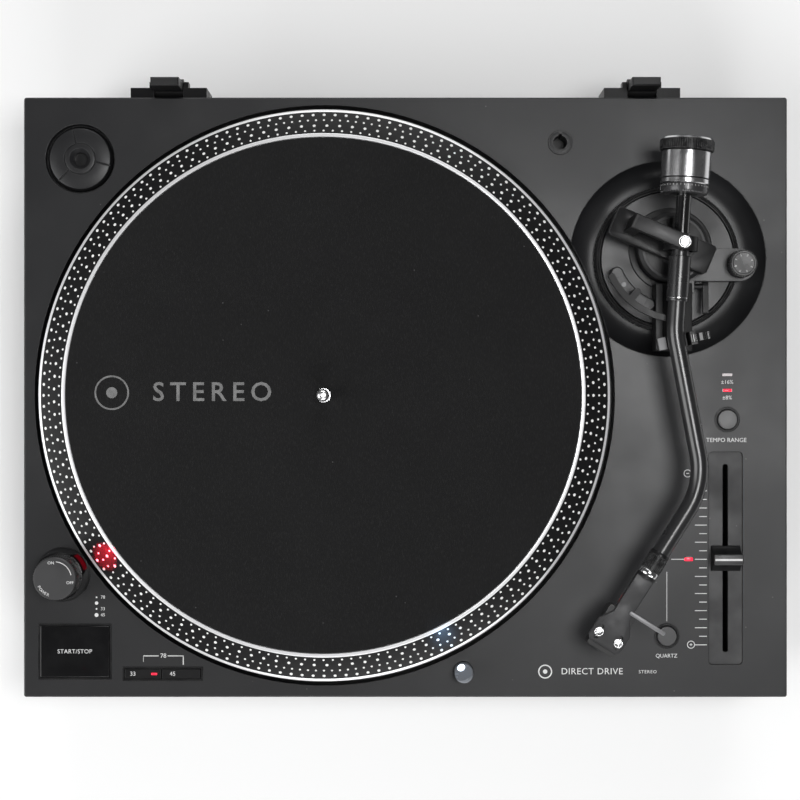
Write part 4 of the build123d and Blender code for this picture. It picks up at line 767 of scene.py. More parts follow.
def circle_through(a, b, c):
    """Centre and radius of the circle through three points of a plane."""
    (ax, ay), (bx, by), (cx, cy) = a, b, c
    d = 2 * (ax * (by - cy) + bx * (cy - ay) + cx * (ay - by))
    aa, bb, cc = ax * ax + ay * ay, bx * bx + by * by, cx * cx + cy * cy
    x = (aa * (by - cy) + bb * (cy - ay) + cc * (ay - by)) / d
    y = (aa * (cx - bx) + bb * (ax - cx) + cc * (bx - ax)) / d
    return (x, y), ((ax - x) ** 2 + (ay - y) ** 2) ** 0.5


def rounded_run(corners, radii, steps=24):
    """Points in metres along straight runs joined by arcs."""
    points = [corners[0]]
    for before, corner, after, radius in zip(corners, corners[1:], corners[2:], radii):
        back, on = (before - corner).normalized(), (after - corner).normalized()
        half = back.angle(on) / 2
        centre = corner + (back + on).normalized() * radius * MM / sin(half)
        start = corner + back * radius * MM / (sin(half) / cos(half))
        end = corner + on * radius * MM / (sin(half) / cos(half))
        first, last = (start - centre).normalized(), (end - centre).normalized()
        for step in range(steps + 1):
            points.append(centre + first.slerp(last, step / steps) * radius * MM)
    return points + [corners[-1]]


def printed(name, shapes, place, body, finish="legend", thickness=0.05):
    """Silk-screened bars and discs: each shape is (x, y, width, depth) or (x, y, radius)."""
    bm = bmesh.new()
    for shape in shapes:
        if len(shape) == 4:
            x, y, width, depth = shape
            matrix = Matrix.Translation((x, y, thickness / 2)) @ Matrix.Diagonal((width, depth, thickness, 1))
            bmesh.ops.create_cube(bm, size=1.0, matrix=matrix)
        else:
            x, y, radius = shape
            bmesh.ops.create_cone(
                bm, cap_ends=True, segments=20, radius1=radius, radius2=radius, depth=thickness,
                matrix=Matrix.Translation((x, y, thickness / 2)),
            )
    return put(name, bm, place, finish, body)


def ring(name, radius, width, place, body, finish="legend", thickness=0.05):
    """A printed ring."""
    profile = [(radius - width, 0), (radius, 0), (radius, thickness), (radius - width, thickness)]
    return put(name, lathe(profile, 48, closed=True), place, finish, body)


# ------------------------------------------------------------------ pieces
NODE_FINISH = {
    "top_cabinet": "deck paint", "bottom_cover": "base rubber", "cover_screws": "zinc", "motor_frame": "zinc",
    "stator": "gold", "rotor": "zinc", "spindle": "polished steel", "main_board": "circuit board",
    "power_transformer": "zinc", "rear_panel": "black plastic", "rear_sockets": "gold",
    "mains_inlet": "black plastic", "hinge_holders": "black satin", "left_lid_hinge": "black plastic",
    "right_lid_hinge": "black plastic", "button_frames": "black satin", "start_stop_button": "black gloss",
    "speed_33_button": "black satin", "speed_45_button": "black satin", "quartz_button": "button grey",
    "tempo_range_button": "button grey", "strobe_tower": "black gloss", "strobe_window": "strobe window",
    "slider_plate": "slider grey", "slider_unit": "dark bore", "target_light": "button grey",
    "stow_socket": "black plastic", "indicator_lamps": "lamp dark", "height_ring": "black satin",
    "arm_base": "arm base grey", "bearing_bracket": "black satin", "pivot_screws": "polished steel",
    "arm_rest": "black satin", "rest_clip": "black gloss", "lift_cylinder": "arm base grey",
    "lift_bar": "black satin", "cue_lever": "black satin", "gimbal_ring": "black satin",
    "cross_shaft": "polished steel", "rear_shaft": "black gloss", "counterweight_sleeve": "black satin",
    "headshell": "arm base grey", "finger_lift": "polished steel", "cartridge": "black plastic",
    "stylus": "black plastic", "cartridge_screws": "polished steel",
}


class DECK_OT_finishes(bpy.types.Operator):
    """Builds the node groups and materials, and gives the carried-over solids theirs"""

    bl_idname = "deck.finishes"
    bl_label = "Finishes"

    def execute(self, context):
        make_finishes(context.scene.deck_colours)
        for node, finish in NODE_FINISH.items():
            finish_node(node, finish)
        return {"FINISHED"}


class DECK_OT_dish(bpy.types.Operator):
    """Lines the tonearm's bowl with a smooth painted surface, cut where the platter's well meets it"""

    bl_idname = "deck.dish"
    bl_label = "Tonearm bowl"

    def execute(self, context):
        (cx, cz), radius = circle_through((57.7, 0.0), (52.2, -6.3), (43.4, -9.0))
        start, end = atan2(-9.0 - cz, 43.4 - cx), atan2(-cz, 57.7 - cx)
        angles = [start + (end - start) * step / 20 for step in range(21)]
        upper = [(cx + (radius - 0.12) * cos(angle), cz + (radius - 0.12) * sin(angle)) for angle in angles]
        lower = [(cx + (radius + 0.6) * cos(angle), cz + (radius + 0.6) * sin(angle))
                 for angle in angles[:-2]]
        liner = lathe([(42.7, -8.88)] + upper + lower[::-1] + [(42.7, -9.3)], 160, closed=True)
        well = lathe([(0, -30), (170.6, -30), (170.6, 6), (0, 6)], 256)
        offset = (PLATTER - DISH) / MM
        bmesh.ops.translate(well, vec=(offset.x, offset.y, 0), verts=well.verts)
        bm = carve("dish_liner_cut", liner, [well])
        put("dish_liner", bm, upright(DISH), "deck paint", "root")
        return {"FINISHED"}


class DECK_OT_platter(bpy.types.Operator):
    """Turns the platter: a bright land, a black bevel with four rings of strobe dots, and a bright lip"""

    bl_idname = "deck.platter"
    bl_label = "Platter"

    def execute(self, context):
        sizes = context.scene.deck_sizes
        profile = [
            (5.05, 14), (4.35, 14), (4.35, 14.9), (149.3, 14.9), (149.3, 16.8), (149.5, 17), (151.2, 17),
            (151.45, 16.85), (165.5, 5.75), (166.6, 5.45), (167.0, 5.0), (167.0, -7.6), (166.6, -8),
            (163, -8), (163, 4), (148.4, 11), (16, 11), (16, -12), (5.05, -12),
        ]
        bm = lathe(profile, 320, closed=True)

        def bright(centre, normal):
            """True on the two bright turned edges of the rim."""
            radius = Vector((centre.x, centre.y)).length
            return (149 < radius < 151.4 and centre.z > 15) or (radius > 165.5 and 4.9 < centre.z < 5.8)

        paint_faces(bm, 1, bright)
        paint_faces(bm, 2, lambda centre, normal: Vector((centre.x, centre.y)).length < 149
                    or normal.z < -0.3)
        put("platter_casting", bm, upright(PLATTER), ["anodised bevel", "turned edge", "zinc"], "platter",
            ["platter"])
        slope = atan2(16.85 - 5.75, 165.5 - 151.45)
        rings = [
            (180, 153.1, sizes.dot_small), (133, 156.4, sizes.dot_large),
            (216, 160.0, sizes.dot_small), (160, 163.5, sizes.dot_large),
        ]
        dots = bmesh.new()
        for count, radius, dot in rings:
            height = 16.85 - (radius - 151.45) * sin(slope) / cos(slope)
            for index in range(count):
                turn = Matrix.Rotation(2 * pi * index / count, 4, "Z")
                place = turn @ Matrix.Translation((radius, 0, height))
                place = place @ Matrix.Rotation(slope, 4, "Y") @ Matrix.Diagonal((1.12, 1, 1, 1))
                bmesh.ops.create_cone(
                    dots, cap_ends=True, segments=12, radius1=dot / MM, radius2=dot / MM * 0.6, depth=0.5,
                    matrix=place
                )
        put("strobe_dots", dots, upright(PLATTER), "strobe dot", "platter", sharp=20)
        return {"FINISHED"}


class DECK_OT_mat(bpy.types.Operator):
    """Lays the felt mat with its printed word"""

    bl_idname = "deck.mat"
    bl_label = "Mat"

    def execute(self, context):
        profile = [(4.25, 15.1), (4.25, 17.7), (4.6, 17.95), (148.0, 17.95), (148.8, 17.6), (149.0, 17.0),
                   (149.0, 15.1)]
        put("felt_mat", lathe(profile, 256, closed=True), upright(PLATTER), "felt", "slipmat",
            ["slipmat"])
        place = upright(deck_point(-111.5, 2.6, 17.93))
        lettering("mat_print", "STEREO", place, 11.0, "mat print", "slipmat", depth=0.08,
                  spacing=1.4, bold=0.16)
        symbol = upright(deck_point(-169.5, 2.6, 17.93))
        ring("mat_symbol", 10.0, 1.0, symbol, "slipmat", "mat print", 0.08)
        printed("mat_symbol_eye", [(0, 0, 3.2)], symbol, "slipmat", "mat print", 0.08)
        return {"FINISHED"}


class DECK_OT_adapter(bpy.types.Operator):
    """Turns the adapter for large-hole records, with a hub and three cut lines"""

    bl_idname = "deck.adapter"
    bl_label = "Large-hole adapter"

    def execute(self, context):
        low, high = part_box("adapter_45")
        top = (high.z - DECK) / MM
        profile = [
            (4.0, -5.9), (18.7, -5.9), (19.0, -5.5), (19.0, top - 2.6), (17.7, top - 0.35),
            (17.3, top - 0.15), (9.4, top - 0.15), (9.0, top - 0.7), (8.6, top - 0.15), (8.0, top), (6.2, top),
            (4.6, top - 1.8), (4.0, top - 2.6),
        ]
        lines = []
        for turn in (104, -13, 226):
            line = block(9.4, 0.9, 3.0)
            bmesh.ops.transform(line, matrix=shift(turn=turn) @ shift(x=13.9, z=top - 0.9), verts=line.verts)
            lines.append(line)
        bm = carve("adapter_cut", lathe(profile, 128, closed=True), lines)
        # Painted shade: the sloped outer side and wall take black satin to stand for the dark gap and shadow
        # round the adapter's edge.
        paint_faces(bm, 1, lambda centre, normal: normal.z < 0.8
                    and Vector((centre.x, centre.y)).length > 17.2)
        centre = (low + high) / 2
        place = upright(Vector((centre.x, centre.y, DECK)))
        put("adapter_body", bm, place, ["deck paint", "black satin"], "adapter", ["adapter_45"])
        return {"FINISHED"}


class DECK_OT_stow_socket(bpy.types.Operator):
    """Adds the trim ring and key slots of the spare headshell's socket"""

    bl_idname = "deck.stow_socket"
    bl_label = "Headshell socket"

    def execute(self, context):
        low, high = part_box("stow_socket")
        centre = (low + high) / 2
        place = upright(Vector((centre.x, centre.y, high.z)))
        trim = lathe([(4.9, -0.3), (6.3, -0.3), (6.3, 0.12), (6.1, 0.2), (5.1, 0.2), (4.9, 0.05)], 64,
                     closed=True)
        cuts = []
        for turn in (90, -90):
            cut = block(2.4, 1.9, 1.0)
            bmesh.ops.transform(cut, matrix=shift(turn=turn) @ shift(x=5.2, z=-0.5), verts=cut.verts)
            cuts.append(cut)
        bm = carve("stow_trim_cut", trim, cuts)
        put("stow_trim", bm, place, "deck paint", "root")
        return {"FINISHED"}


class DECK_OT_power(bpy.types.Operator):
    """Builds the ribbed power knob, its printed marks and the trim of the strobe tower"""

    bl_idname = "deck.power"
    bl_label = "Power knob"

    def execute(self, context):
        low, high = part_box("power_knob")
        centre = (low + high) / 2
        top = (high.z - low.z) / MM
        place = upright(Vector((centre.x, centre.y, low.z)))
        stem = top - 10.9
        profile = [(0, stem), (12.4, stem), (12.4, top - 1.4), (12.2, top - 0.5), (11.7, top - 0.12),
                   (0, top - 0.12)]
        bm = lathe(profile, 120)
        paint_faces(bm, 1, lambda centre_, normal: centre_.z > top - 1.3)
        ribs(bm, context.scene.deck_sizes.knob_teeth, 12.35, stem + 0.2, top - 1.6, 0.62, 0.5)
        put("power_knob_cap", bm, place, ["black satin", "button grey"], "power_knob",
            ["power_knob"])
        face = upright(Vector((centre.x, centre.y, high.z - 0.12 * MM)))
        outline = arc_points(9.9, 85, 12, 20) + arc_points(9.5, 12, 85, 20)
        put("knob_arc", prism(outline, 0.08), face, "legend", "power_knob")
        for word, turn, name in (("ON", 103, "knob_on"), ("OFF", -15, "knob_off")):
            spot = face @ shift(turn=turn) @ shift(x=9.2, turn=-turn)
            lettering(name, word, spot, 1.7, "legend", "power_knob", depth=0.14)
        for index, letter in enumerate("POWER"):
            turn = 208 + index * 10
            spot = face @ shift(turn=turn) @ shift(x=10.0, turn=90)
            lettering(f"knob_letter_{index}", letter, spot, 1.7, "legend", "power_knob",
                      depth=0.14)
        rim = Vector((centre.x, centre.y, DECK))
        trim = lathe([(15.2, 0.0), (16.1, 0.0), (16.1, 0.35), (15.75, 0.6), (15.2, 0.6)], 96, closed=True)
        put("tower_trim", trim, upright(rim), "black satin", "root")
        return {"FINISHED"}


class DECK_OT_buttons(bpy.types.Operator):
    """Prints the words on the square buttons and caps the round buttons"""

    bl_idname = "deck.buttons"
    bl_label = "Buttons and lamps"

    def execute(self, context):
        def over(node, dx=0.0, dy=0.0):
            """A place on top of a button, moved by millimetres."""
            low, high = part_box(node)
            return upright(Vector(((low.x + high.x) / 2 + dx * MM, (low.y + high.y) / 2 + dy * MM, high.z)))

        lettering("start_word", "START/STOP", over("start_stop_button"), 2.5, "legend", "start_stop_button",
                  spacing=1.05)
        lettering("word_33", "33", over("speed_33_button", -6.0), 2.5, "legend", "speed_33_button")
        lettering("word_45", "45", over("speed_45_button", -5.0), 2.5, "legend", "speed_45_button")
        for node, name in (("quartz_button", "quartz_cap"), ("tempo_range_button", "range_cap")):
            low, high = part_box(node)
            centre = (low + high) / 2
            cap = lathe([(0, -0.9), (5.62, -0.9), (5.62, -0.3), (5.3, 0.0), (0, 0.03)], 72)
            rim = lathe([(5.4, -0.32), (5.72, -0.32), (5.72, 0.02), (5.55, 0.1), (5.4, 0.02)], 72,
                        closed=True)
            merge(cap, rim, material=1)
            spot = upright(Vector((centre.x, centre.y, high.z)))
            put(name, cap, spot, ["button grey", "black satin"], node)
        return {"FINISHED"}


class DECK_OT_legends(bpy.types.Operator):
    """Silk-screens the deck: scale, names, brackets and the strobe's key"""

    bl_idname = "deck.legends"
    bl_label = "Deck printing"

    def execute(self, context):
        sizes = context.scene.deck_sizes
        width = sizes.tick_width / MM
        deck = upright(deck_point(0, 0, 0.0))
        right = 176.9
        marks = []
        for index in range(-10, 11):
            long = sizes.tick_long if index % 2 == 0 else sizes.tick_short
            reach = long / MM
            marks.append((right - reach / 2, -95.1 + index * sizes.tick_spacing / MM, reach, width))
        marks += [
            (161.0, -95.1, 10.0, 0.4), (153.4, -117.0, 0.35, 29.0), (167.6, -145.2, 1.6, 0.4),
            (167.6, -145.2, 0.4, 1.6), (165.6, -44.7, 1.6, 0.4), (-149.4, -151.8, 9.0, 0.5),
            (-134.9, -151.8, 9.4, 0.5), (-130.4, -154.3, 0.5, 5.5), (-153.8, -153.4, 0.22, 3.6),
        ]
        marks += [(-181.3, -117.4, 0.5), (-181.3, -120.8, 1.0), (-181.3, -124.2, 0.5),
                  (-181.3, -127.8, 1.15), (82.0, -161.0, 1.3)]
        printed("deck_marks", marks, deck, "root")
        for name, x, y in (("plus_ring", 167.6, -145.2), ("minus_ring", 165.6, -44.7)):
            ring(name, 2.3, 0.4, upright(deck_point(x, y)), "root")
        words = [
            ("word_range", "TEMPO RANGE", 188.4, -25.2, 2.5, 1.0),
            ("word_quartz", "QUARTZ", 153.2, -151.8, 2.25, 1.0),
            ("word_16", "±16%", 188.8, 8.9, 2.3, 1.0), ("word_8", "±8%", 188.8, -0.3, 2.3, 1.0),
            ("word_78", "78", -142.1, -151.8, 2.6, 1.0), ("word_key_78", "78", -177.6, -117.4, 1.9, 1.0),
            ("word_key_33", "33", -177.6, -124.2, 1.9, 1.0), ("word_key_45", "45", -177.6, -127.8, 1.9, 1.0),
            ("word_drive", "DIRECT DRIVE", 109.5, -161.0, 3.8, 1.08),
            ("word_stereo", "STEREO", 142.2, -161.2, 1.9, 1.2),
        ]
        ring("deck_symbol", 4.1, 0.7, upright(deck_point(82.0, -161.0)), "root")
        for name, word, x, y, tall, spacing in words:
            lettering(name, word, upright(deck_point(x, y)), tall, "legend", "root",
                      spacing=spacing)
        lamps = bmesh.new()
        lit = [(166.2, -95.1, 4.9, 1.9), (188.9, 4.1, 5.0, 1.5)]
        for x, y, wide, deep in lit:
            lamp = soften(block(wide, deep, 0.75), 0.25, 2, 60)
            merge(lamps, lamp, Matrix.Translation((x, y, -0.2)))
        put("lit_lamps", lamps, deck, "lamp lit", "root")
        top = Vector((deck_point(-147.4, -162.3).x, deck_point(-147.4, -162.3).y,
                      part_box("speed_33_button")[1].z))
        lamp = soften(block(3.4, 1.2, 0.3), 0.1, 2, 60)
        put("speed_lamp", lamp, upright(top) @ shift(z=-0.2), "lamp lit", "speed_33_button")
        return {"FINISHED"}


class DECK_OT_slider(bpy.types.Operator):
    """Shapes the tempo slider's knob, with a waisted body, a grey crest and a printed line"""

    bl_idname = "deck.slider"
    bl_label = "Tempo slider"

    def execute(self, context):
        low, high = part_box("tempo_slider_knob")
        centre = (low + high) / 2
        wide = (high.x - low.x) / MM
        half = (high.y - low.y) / MM / 2
        base = (high.z - DECK) / MM - 12.0
        outline = [
            (-half, 0), (half, 0), (half - 0.2, 2.0), (half - 2.2, 3.4), (half - 3.6, 6.0),
            (half - 4.2, 10.6),
            (half - 4.5, 12), (-half + 4.5, 12), (-half + 4.2, 10.6), (-half + 3.6, 6.0), (-half + 2.2, 3.4),
            (-half + 0.2, 2.0),
        ]
        bm = prism(outline, wide)
        turn = Matrix(((0, 0, 1, 0), (1, 0, 0, 0), (0, 1, 0, 0), (0, 0, 0, 1)))
        bmesh.ops.transform(bm, matrix=shift(x=-wide / 2) @ turn, verts=bm.verts)
        soften(bm, 0.45, 3, 40)
        paint_faces(bm, 1, lambda centre_, normal: centre_.z > 11.5)
        stem = block(2.6, 9.0, 13.0)
        merge(bm, stem, shift(z=-12.9), 0)
        place = upright(Vector((centre.x, centre.y, DECK + base * MM)))
        put("slider_cap", bm, place, ["black satin", "button grey"], "tempo_slider_knob",
            ["tempo_slider_knob"])
        crest = upright(Vector((centre.x, centre.y, high.z)))
        printed("slider_line", [(0, 0, wide - 1.2, 1.15)], crest @ shift(z=-0.02), "tempo_slider_knob",
                thickness=0.06)
        return {"FINISHED"}


class DECK_OT_target_light(bpy.types.Operator):
    """Shapes the pop-up lamp and its slanted lens"""

    bl_idname = "deck.target_light"
    bl_label = "Target light"

    def execute(self, context):
        low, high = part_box("target_light")
        centre = (low + high) / 2
        base = Vector((centre.x, centre.y, DECK))
        facing = PLATTER - base
        facing.z = 0
        place = flat(base, facing)
        rise = (high.z - DECK) / MM
        drop = (low.z - DECK) / MM
        dome = [(5.4 * cos(radians(a)), rise - 4.2 + 4.2 * sin(radians(a))) for a in range(0, 91, 9)]
        shell = lathe([(0, drop)] + [(5.0, drop), (5.4, drop + 0.4)] + dome[:-1] + [(0, rise)], 72)
        cutter = block(30, 30, 20)
        slant = Matrix.Translation((5.4, 0, rise - 9)) @ Matrix.Rotation(radians(45), 4, "Y")
        bmesh.ops.transform(cutter, matrix=slant, verts=cutter.verts)
        bm = carve("target_cut", shell, [cutter])
        put("target_shell", bm, place, "lamp shell", "target_light", ["target_light"])
        glass = lathe([(0, -0.5), (2.3, -0.5), (2.3, 0.1), (1.9, 0.35), (1.1, 0.5), (0, 0.55)], 48)
        spot = place @ slant @ Matrix.Translation((-2.6, 0, 0))
        put("target_lens", glass, spot, "white lens", "target_light")
        return {"FINISHED"}


class DECK_OT_arm_base(bpy.types.Operator):
    """Adds the drum's steps, the ring's grip and the pod's cap of the tonearm base"""

    bl_idname = "deck.arm_base"
    bl_label = "Tonearm base"

    def execute(self, context):
        pivot = Vector((PIVOT.x, PIVOT.y, DECK))
        drum = lathe(
            [(10, 5.0), (20.7, 5.0), (20.7, 10.2), (20.2, 10.8), (19.4, 11.0), (19.4, 12.2), (18.9, 12.6),
             (17.4, 12.7), (17.4, 13.7), (17.0, 13.95), (10, 13.95)], 120, closed=True,
        )
        put("drum_steps", drum, upright(pivot), "black satin", "arm_base")
        foot = lathe([(20.6, -1.5), (24.6, -1.5), (24.6, -0.9), (24.2, -0.6), (22.6, -0.5), (20.6, -0.5)],
                     120, closed=True)
        put("drum_foot", foot, upright(pivot), "black satin", "arm_base")
        low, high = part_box("height_ring")
        top = (high.z - DECK) / MM
        outer = (high.x - low.x) / MM / 2
        band = lathe(
            [(outer - 3.3, -8.8), (outer - 0.5, -8.8), (outer - 0.45, top - 0.7), (outer - 0.9, top - 0.15),
             (outer - 1.6, top), (outer - 2.0, top - 0.45), (outer - 2.4, top), (outer - 3.0, top - 0.1),
             (outer - 3.3, top - 0.5)],
            160, closed=True,
        )
        ribs(band, 120, outer - 0.45, -8.4, top - 1.2, 1.1, 0.42)
        put("ring_grip", band, upright(DISH), "black satin", "height_ring", ["height_ring"])
        low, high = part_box("anti_skate_knob")
        centre = (low + high) / 2
        tall = (high.z - low.z) / MM
        profile = [(0, 0), (2.4, 0), (2.4, tall - 12.0), (7.5, tall - 12.0), (7.5, tall - 0.9),
                   (7.1, tall - 0.3), (6.3, tall - 0.3), (6.0, tall), (0, tall)]
        knob = lathe(profile, 96)
        ribs(knob, 34, 7.5, tall - 11.6, tall - 0.8, 0.75, 0.48)
        place = upright(Vector((centre.x, centre.y, low.z)))
        put("anti_skate_cap", knob, place, "knurl", "anti_skate_knob", ["anti_skate_knob"])
        face = upright(Vector((centre.x, centre.y, high.z)))
        for index, mark in enumerate("01234567"):
            turn = 200 - index * 45
            spot = face @ shift(turn=turn) @ shift(x=4.9, turn=-90)
            lettering(f"anti_skate_{index}", mark, spot, 1.3, "legend", "anti_skate_knob")
        return {"FINISHED"}


class DECK_OT_bracket(bpy.types.Operator):
    """Caps the bearing bridge, slots its screw and dresses the arm rest and lift"""

    bl_idname = "deck.bracket"
    bl_label = "Bearing bridge, rest and lift"

    def execute(self, context):
        bridge_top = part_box("bearing_bracket")[1].z
        place = upright(Vector((PIVOT.x, PIVOT.y, bridge_top)), BRACKET_TURN)
        cap = soften(block(29.6, 7.6, 0.5, 1.6), 0.2, 2, 50)
        bmesh.ops.translate(cap, vec=(14.2, 0, -0.1), verts=cap.verts)
        put("bridge_cap", cap, place, "bridge grey", "arm_base")
        bar = soften(block(60.4, 16.8, 0.5, 2.2), 0.2, 2, 50)
        bmesh.ops.translate(bar, vec=(8.8, 0, 23.9), verts=bar.verts)
        low_place = upright(Vector((PIVOT.x, PIVOT.y, DECK)), BRACKET_TURN)
        cut = lathe([(0, 20), (10.6, 20), (10.6, 30), (0, 30)], 64)
        post = block(7.0, 9.4, 12)
        bmesh.ops.translate(post, vec=(28, 0, 18), verts=post.verts)
        bar = carve("bar_cut", bar, [cut, post])
        put("bar_cap", bar, low_place, "black satin", "arm_base")
        top = Vector((PIVOT.x, PIVOT.y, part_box("pivot_screws")[1].z))
        head = lathe([(0, -1.1), (3.3, -1.1), (3.3, -0.25), (3.05, 0.0), (2.2, 0.0), (1.9, -0.25),
                      (0, -0.25)], 64)
        slot = block(4.6, 0.7, 1.0)
        bmesh.ops.translate(slot, vec=(0, 0, -0.75), verts=slot.verts)
        head = carve("screw_cut", head, [slot])
        put("pivot_screw_head", head, upright(top, 30), "polished steel", "arm_base")
        low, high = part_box("arm_rest")
        rest = RUN_2.cross(Vector((0, 0, 1)))
        right = rest if rest.x > 0 else -rest
        heading = Vector((right.x, right.y, 0)).normalized()
        skin = soften(block(21.2, 39.2, 15.0, 0.8), 0.4, 3, 50)
        put("rest_block", skin, upright(deck_point(155.5, 46.5, -0.9)), "black satin", "arm_base")
        # Painted highlight: a light grey strip along the top left edge of the black rest block stands for the
        # light that edge catches.
        edge_highlight = soften(block(3.6, 38.0, 0.4, 0.6), 0.15, 2, 50)
        put("rest_edge_highlight", edge_highlight, upright(deck_point(147.0, 46.6, 13.95)), "slider grey", "arm_base")
        centre = Vector(((low.x + high.x) / 2, (low.y + high.y) / 2, PIVOT.z - 5.3 * MM))
        pad = soften(block(4.6, 6.9, 0.55, 0.5), 0.2, 2, 50)
        bmesh.ops.translate(pad, vec=(-8.1, 0, -0.05), verts=pad.verts)
        put("rest_pad", pad, flat(centre, heading), "rest pad", "arm_base")
        low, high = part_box("lift_cylinder")
        inner = arc_points(33.6, -90 - 58.0, -90 - 24.0, 24)
        outer = arc_points(37.8, -90 - 24.0, -90 - 58.0, 24)
        plate = prism(inner + outer, 0.45)
        bmesh.ops.transform(plate, matrix=shift(turn=REST_TURN), verts=plate.verts)
        put("lift_plate", plate, upright(Vector((PIVOT.x, PIVOT.y, high.z - 0.1 * MM))), "slider grey",
            "arm_base")
        dot = lathe([(0, 0), (1.6, 0), (1.6, 0.5), (1.2, 0.8), (0, 0.85)], 32)
        angle = radians(-90 - 50.0 + REST_TURN)
        reach = Vector((cos(angle), sin(angle), 0)) * LIFT_CIRCLE * MM
        spot = Vector((PIVOT.x, PIVOT.y, high.z + 0.2 * MM)) + reach
        put("lift_dot", dot, upright(spot), "rest pad", "arm_base")
        return {"FINISHED"}


class DECK_OT_tonearm(bpy.types.Operator):
    """Draws the S-shaped tube, its bearing sleeve and the junction ring"""

    bl_idname = "deck.tonearm"
    bl_label = "Tonearm tube"

    def execute(self, context):
        start = PIVOT - AHEAD * TUBE_BEHIND_PIVOT * MM
        bend_1 = PIVOT + AHEAD * ARM_RUN_1 * MM
        bend_2 = bend_1 + RUN_2 * ARM_RUN_2 * MM
        end = COLLAR_FACE - RUN_3 * TUBE_IN_COLLAR * MM
        points = rounded_run([start, bend_1, bend_2, end], ARM_BENDS, 40)
        pipe("arm_tube_run", points, 5.0, "tube gloss", "arm", ["arm_tube"], sides=12,
             smooth=False)
        sleeve = lathe(
            [(4.9, 7.0), (5.9, 7.0), (6.2, 7.3), (6.2, 30.2), (6.0, 30.4), (5.75, 30.5), (5.75, 31.0),
             (6.05, 31.1), (6.05, 32.2), (5.8, 32.6), (4.9, 32.6)], 96, closed=True,
        )
        put("arm_sleeve", sleeve, along(PIVOT, AHEAD), "tube gloss", "arm")
        line = lathe([(5.7, 30.55), (5.98, 30.55), (5.98, 30.95), (5.7, 30.95)], 72, closed=True)
        put("sleeve_line", line, along(PIVOT, AHEAD), "chrome", "arm")
        return {"FINISHED"}


class DECK_OT_counterweight(bpy.types.Operator):
    """Turns the counterweight with its knurled ring, and the numbered dial before it"""

    bl_idname = "deck.counterweight"
    bl_label = "Counterweight and dial"

    def execute(self, context):
        place = along(PIVOT, -AHEAD)
        profile = [
            (7.7, 33.3), (13.3, 33.3), (13.8, 33.8), (13.8, 36.1), (13.5, 36.3), (13.5, 36.7), (13.85, 36.9),
            (13.85, 51.6),
            (13.4, 51.9), (13.4, 52.3), (14.9, 52.5), (14.9, 58.3), (14.2, 59.3), (13.4, 59.55),
            (11.2, 59.55), (10.8, 59.0), (7.7, 59.0),
        ]
        bm = lathe(profile, 160, closed=True)
        paint_faces(bm, 1, lambda c, n: 52.2 < c.z < 58.4 and Vector((c.x, c.y)).length > 14.0)
        paint_faces(bm, 2, lambda c, n: c.z > 58.9 and Vector((c.x, c.y)).length < 11.4)
        paint_faces(bm, 2, lambda c, n: Vector((c.x, c.y)).length < 7.9 or (51.7 < c.z < 52.2)
                    or (36.2 < c.z < 36.8))
        ribs(bm, 72, 14.9, 52.7, 58.1, 0.7, 0.42, 1)
        put("counterweight_body", bm, place, ["chrome", "knurl", "black satin"], "counterweight",
            ["counterweight"])
        dial = lathe(
            [(7.7, 28.2), (12.6, 28.2), (13.2, 28.8), (13.45, 29.4), (13.45, 32.9), (13.2, 33.1),
             (7.7, 33.1)], 128, closed=True
        )
        ribs(dial, 48, 12.95, 28.35, 29.2, 0.5, 0.3)
        put("dial_body", dial, place, "dial black", "tracking_dial", ["tracking_dial"])
        bars = bmesh.new()
        for index in range(40):
            turn = Matrix.Rotation(2 * pi * index / 40, 4, "Z")
            reach = 1.5 if index % 10 == 0 else 0.8
            bar = turn @ Matrix.Translation((13.44, 0, 32.6 - reach / 2)) @ Matrix.Diagonal((0.06, 0.22,
                                                                                             reach, 1))
            bmesh.ops.create_cube(bars, size=1.0, matrix=bar)
        put("dial_marks", bars, place, "legend", "tracking_dial")
        for index, digit in enumerate("0123"):
            face = place @ Matrix.Rotation(radians(90 * index), 4, "Z") @ Matrix.Translation((13.46, 0, 30.2))
            face = face @ Matrix(((0, 0, 1, 0), (0, 1, 0, 0), (-1, 0, 0, 0), (0, 0, 0, 1)))
            lettering(f"dial_digit_{index}", digit, face @ shift(turn=90), 1.5, "legend", "tracking_dial")
        return {"FINISHED"}


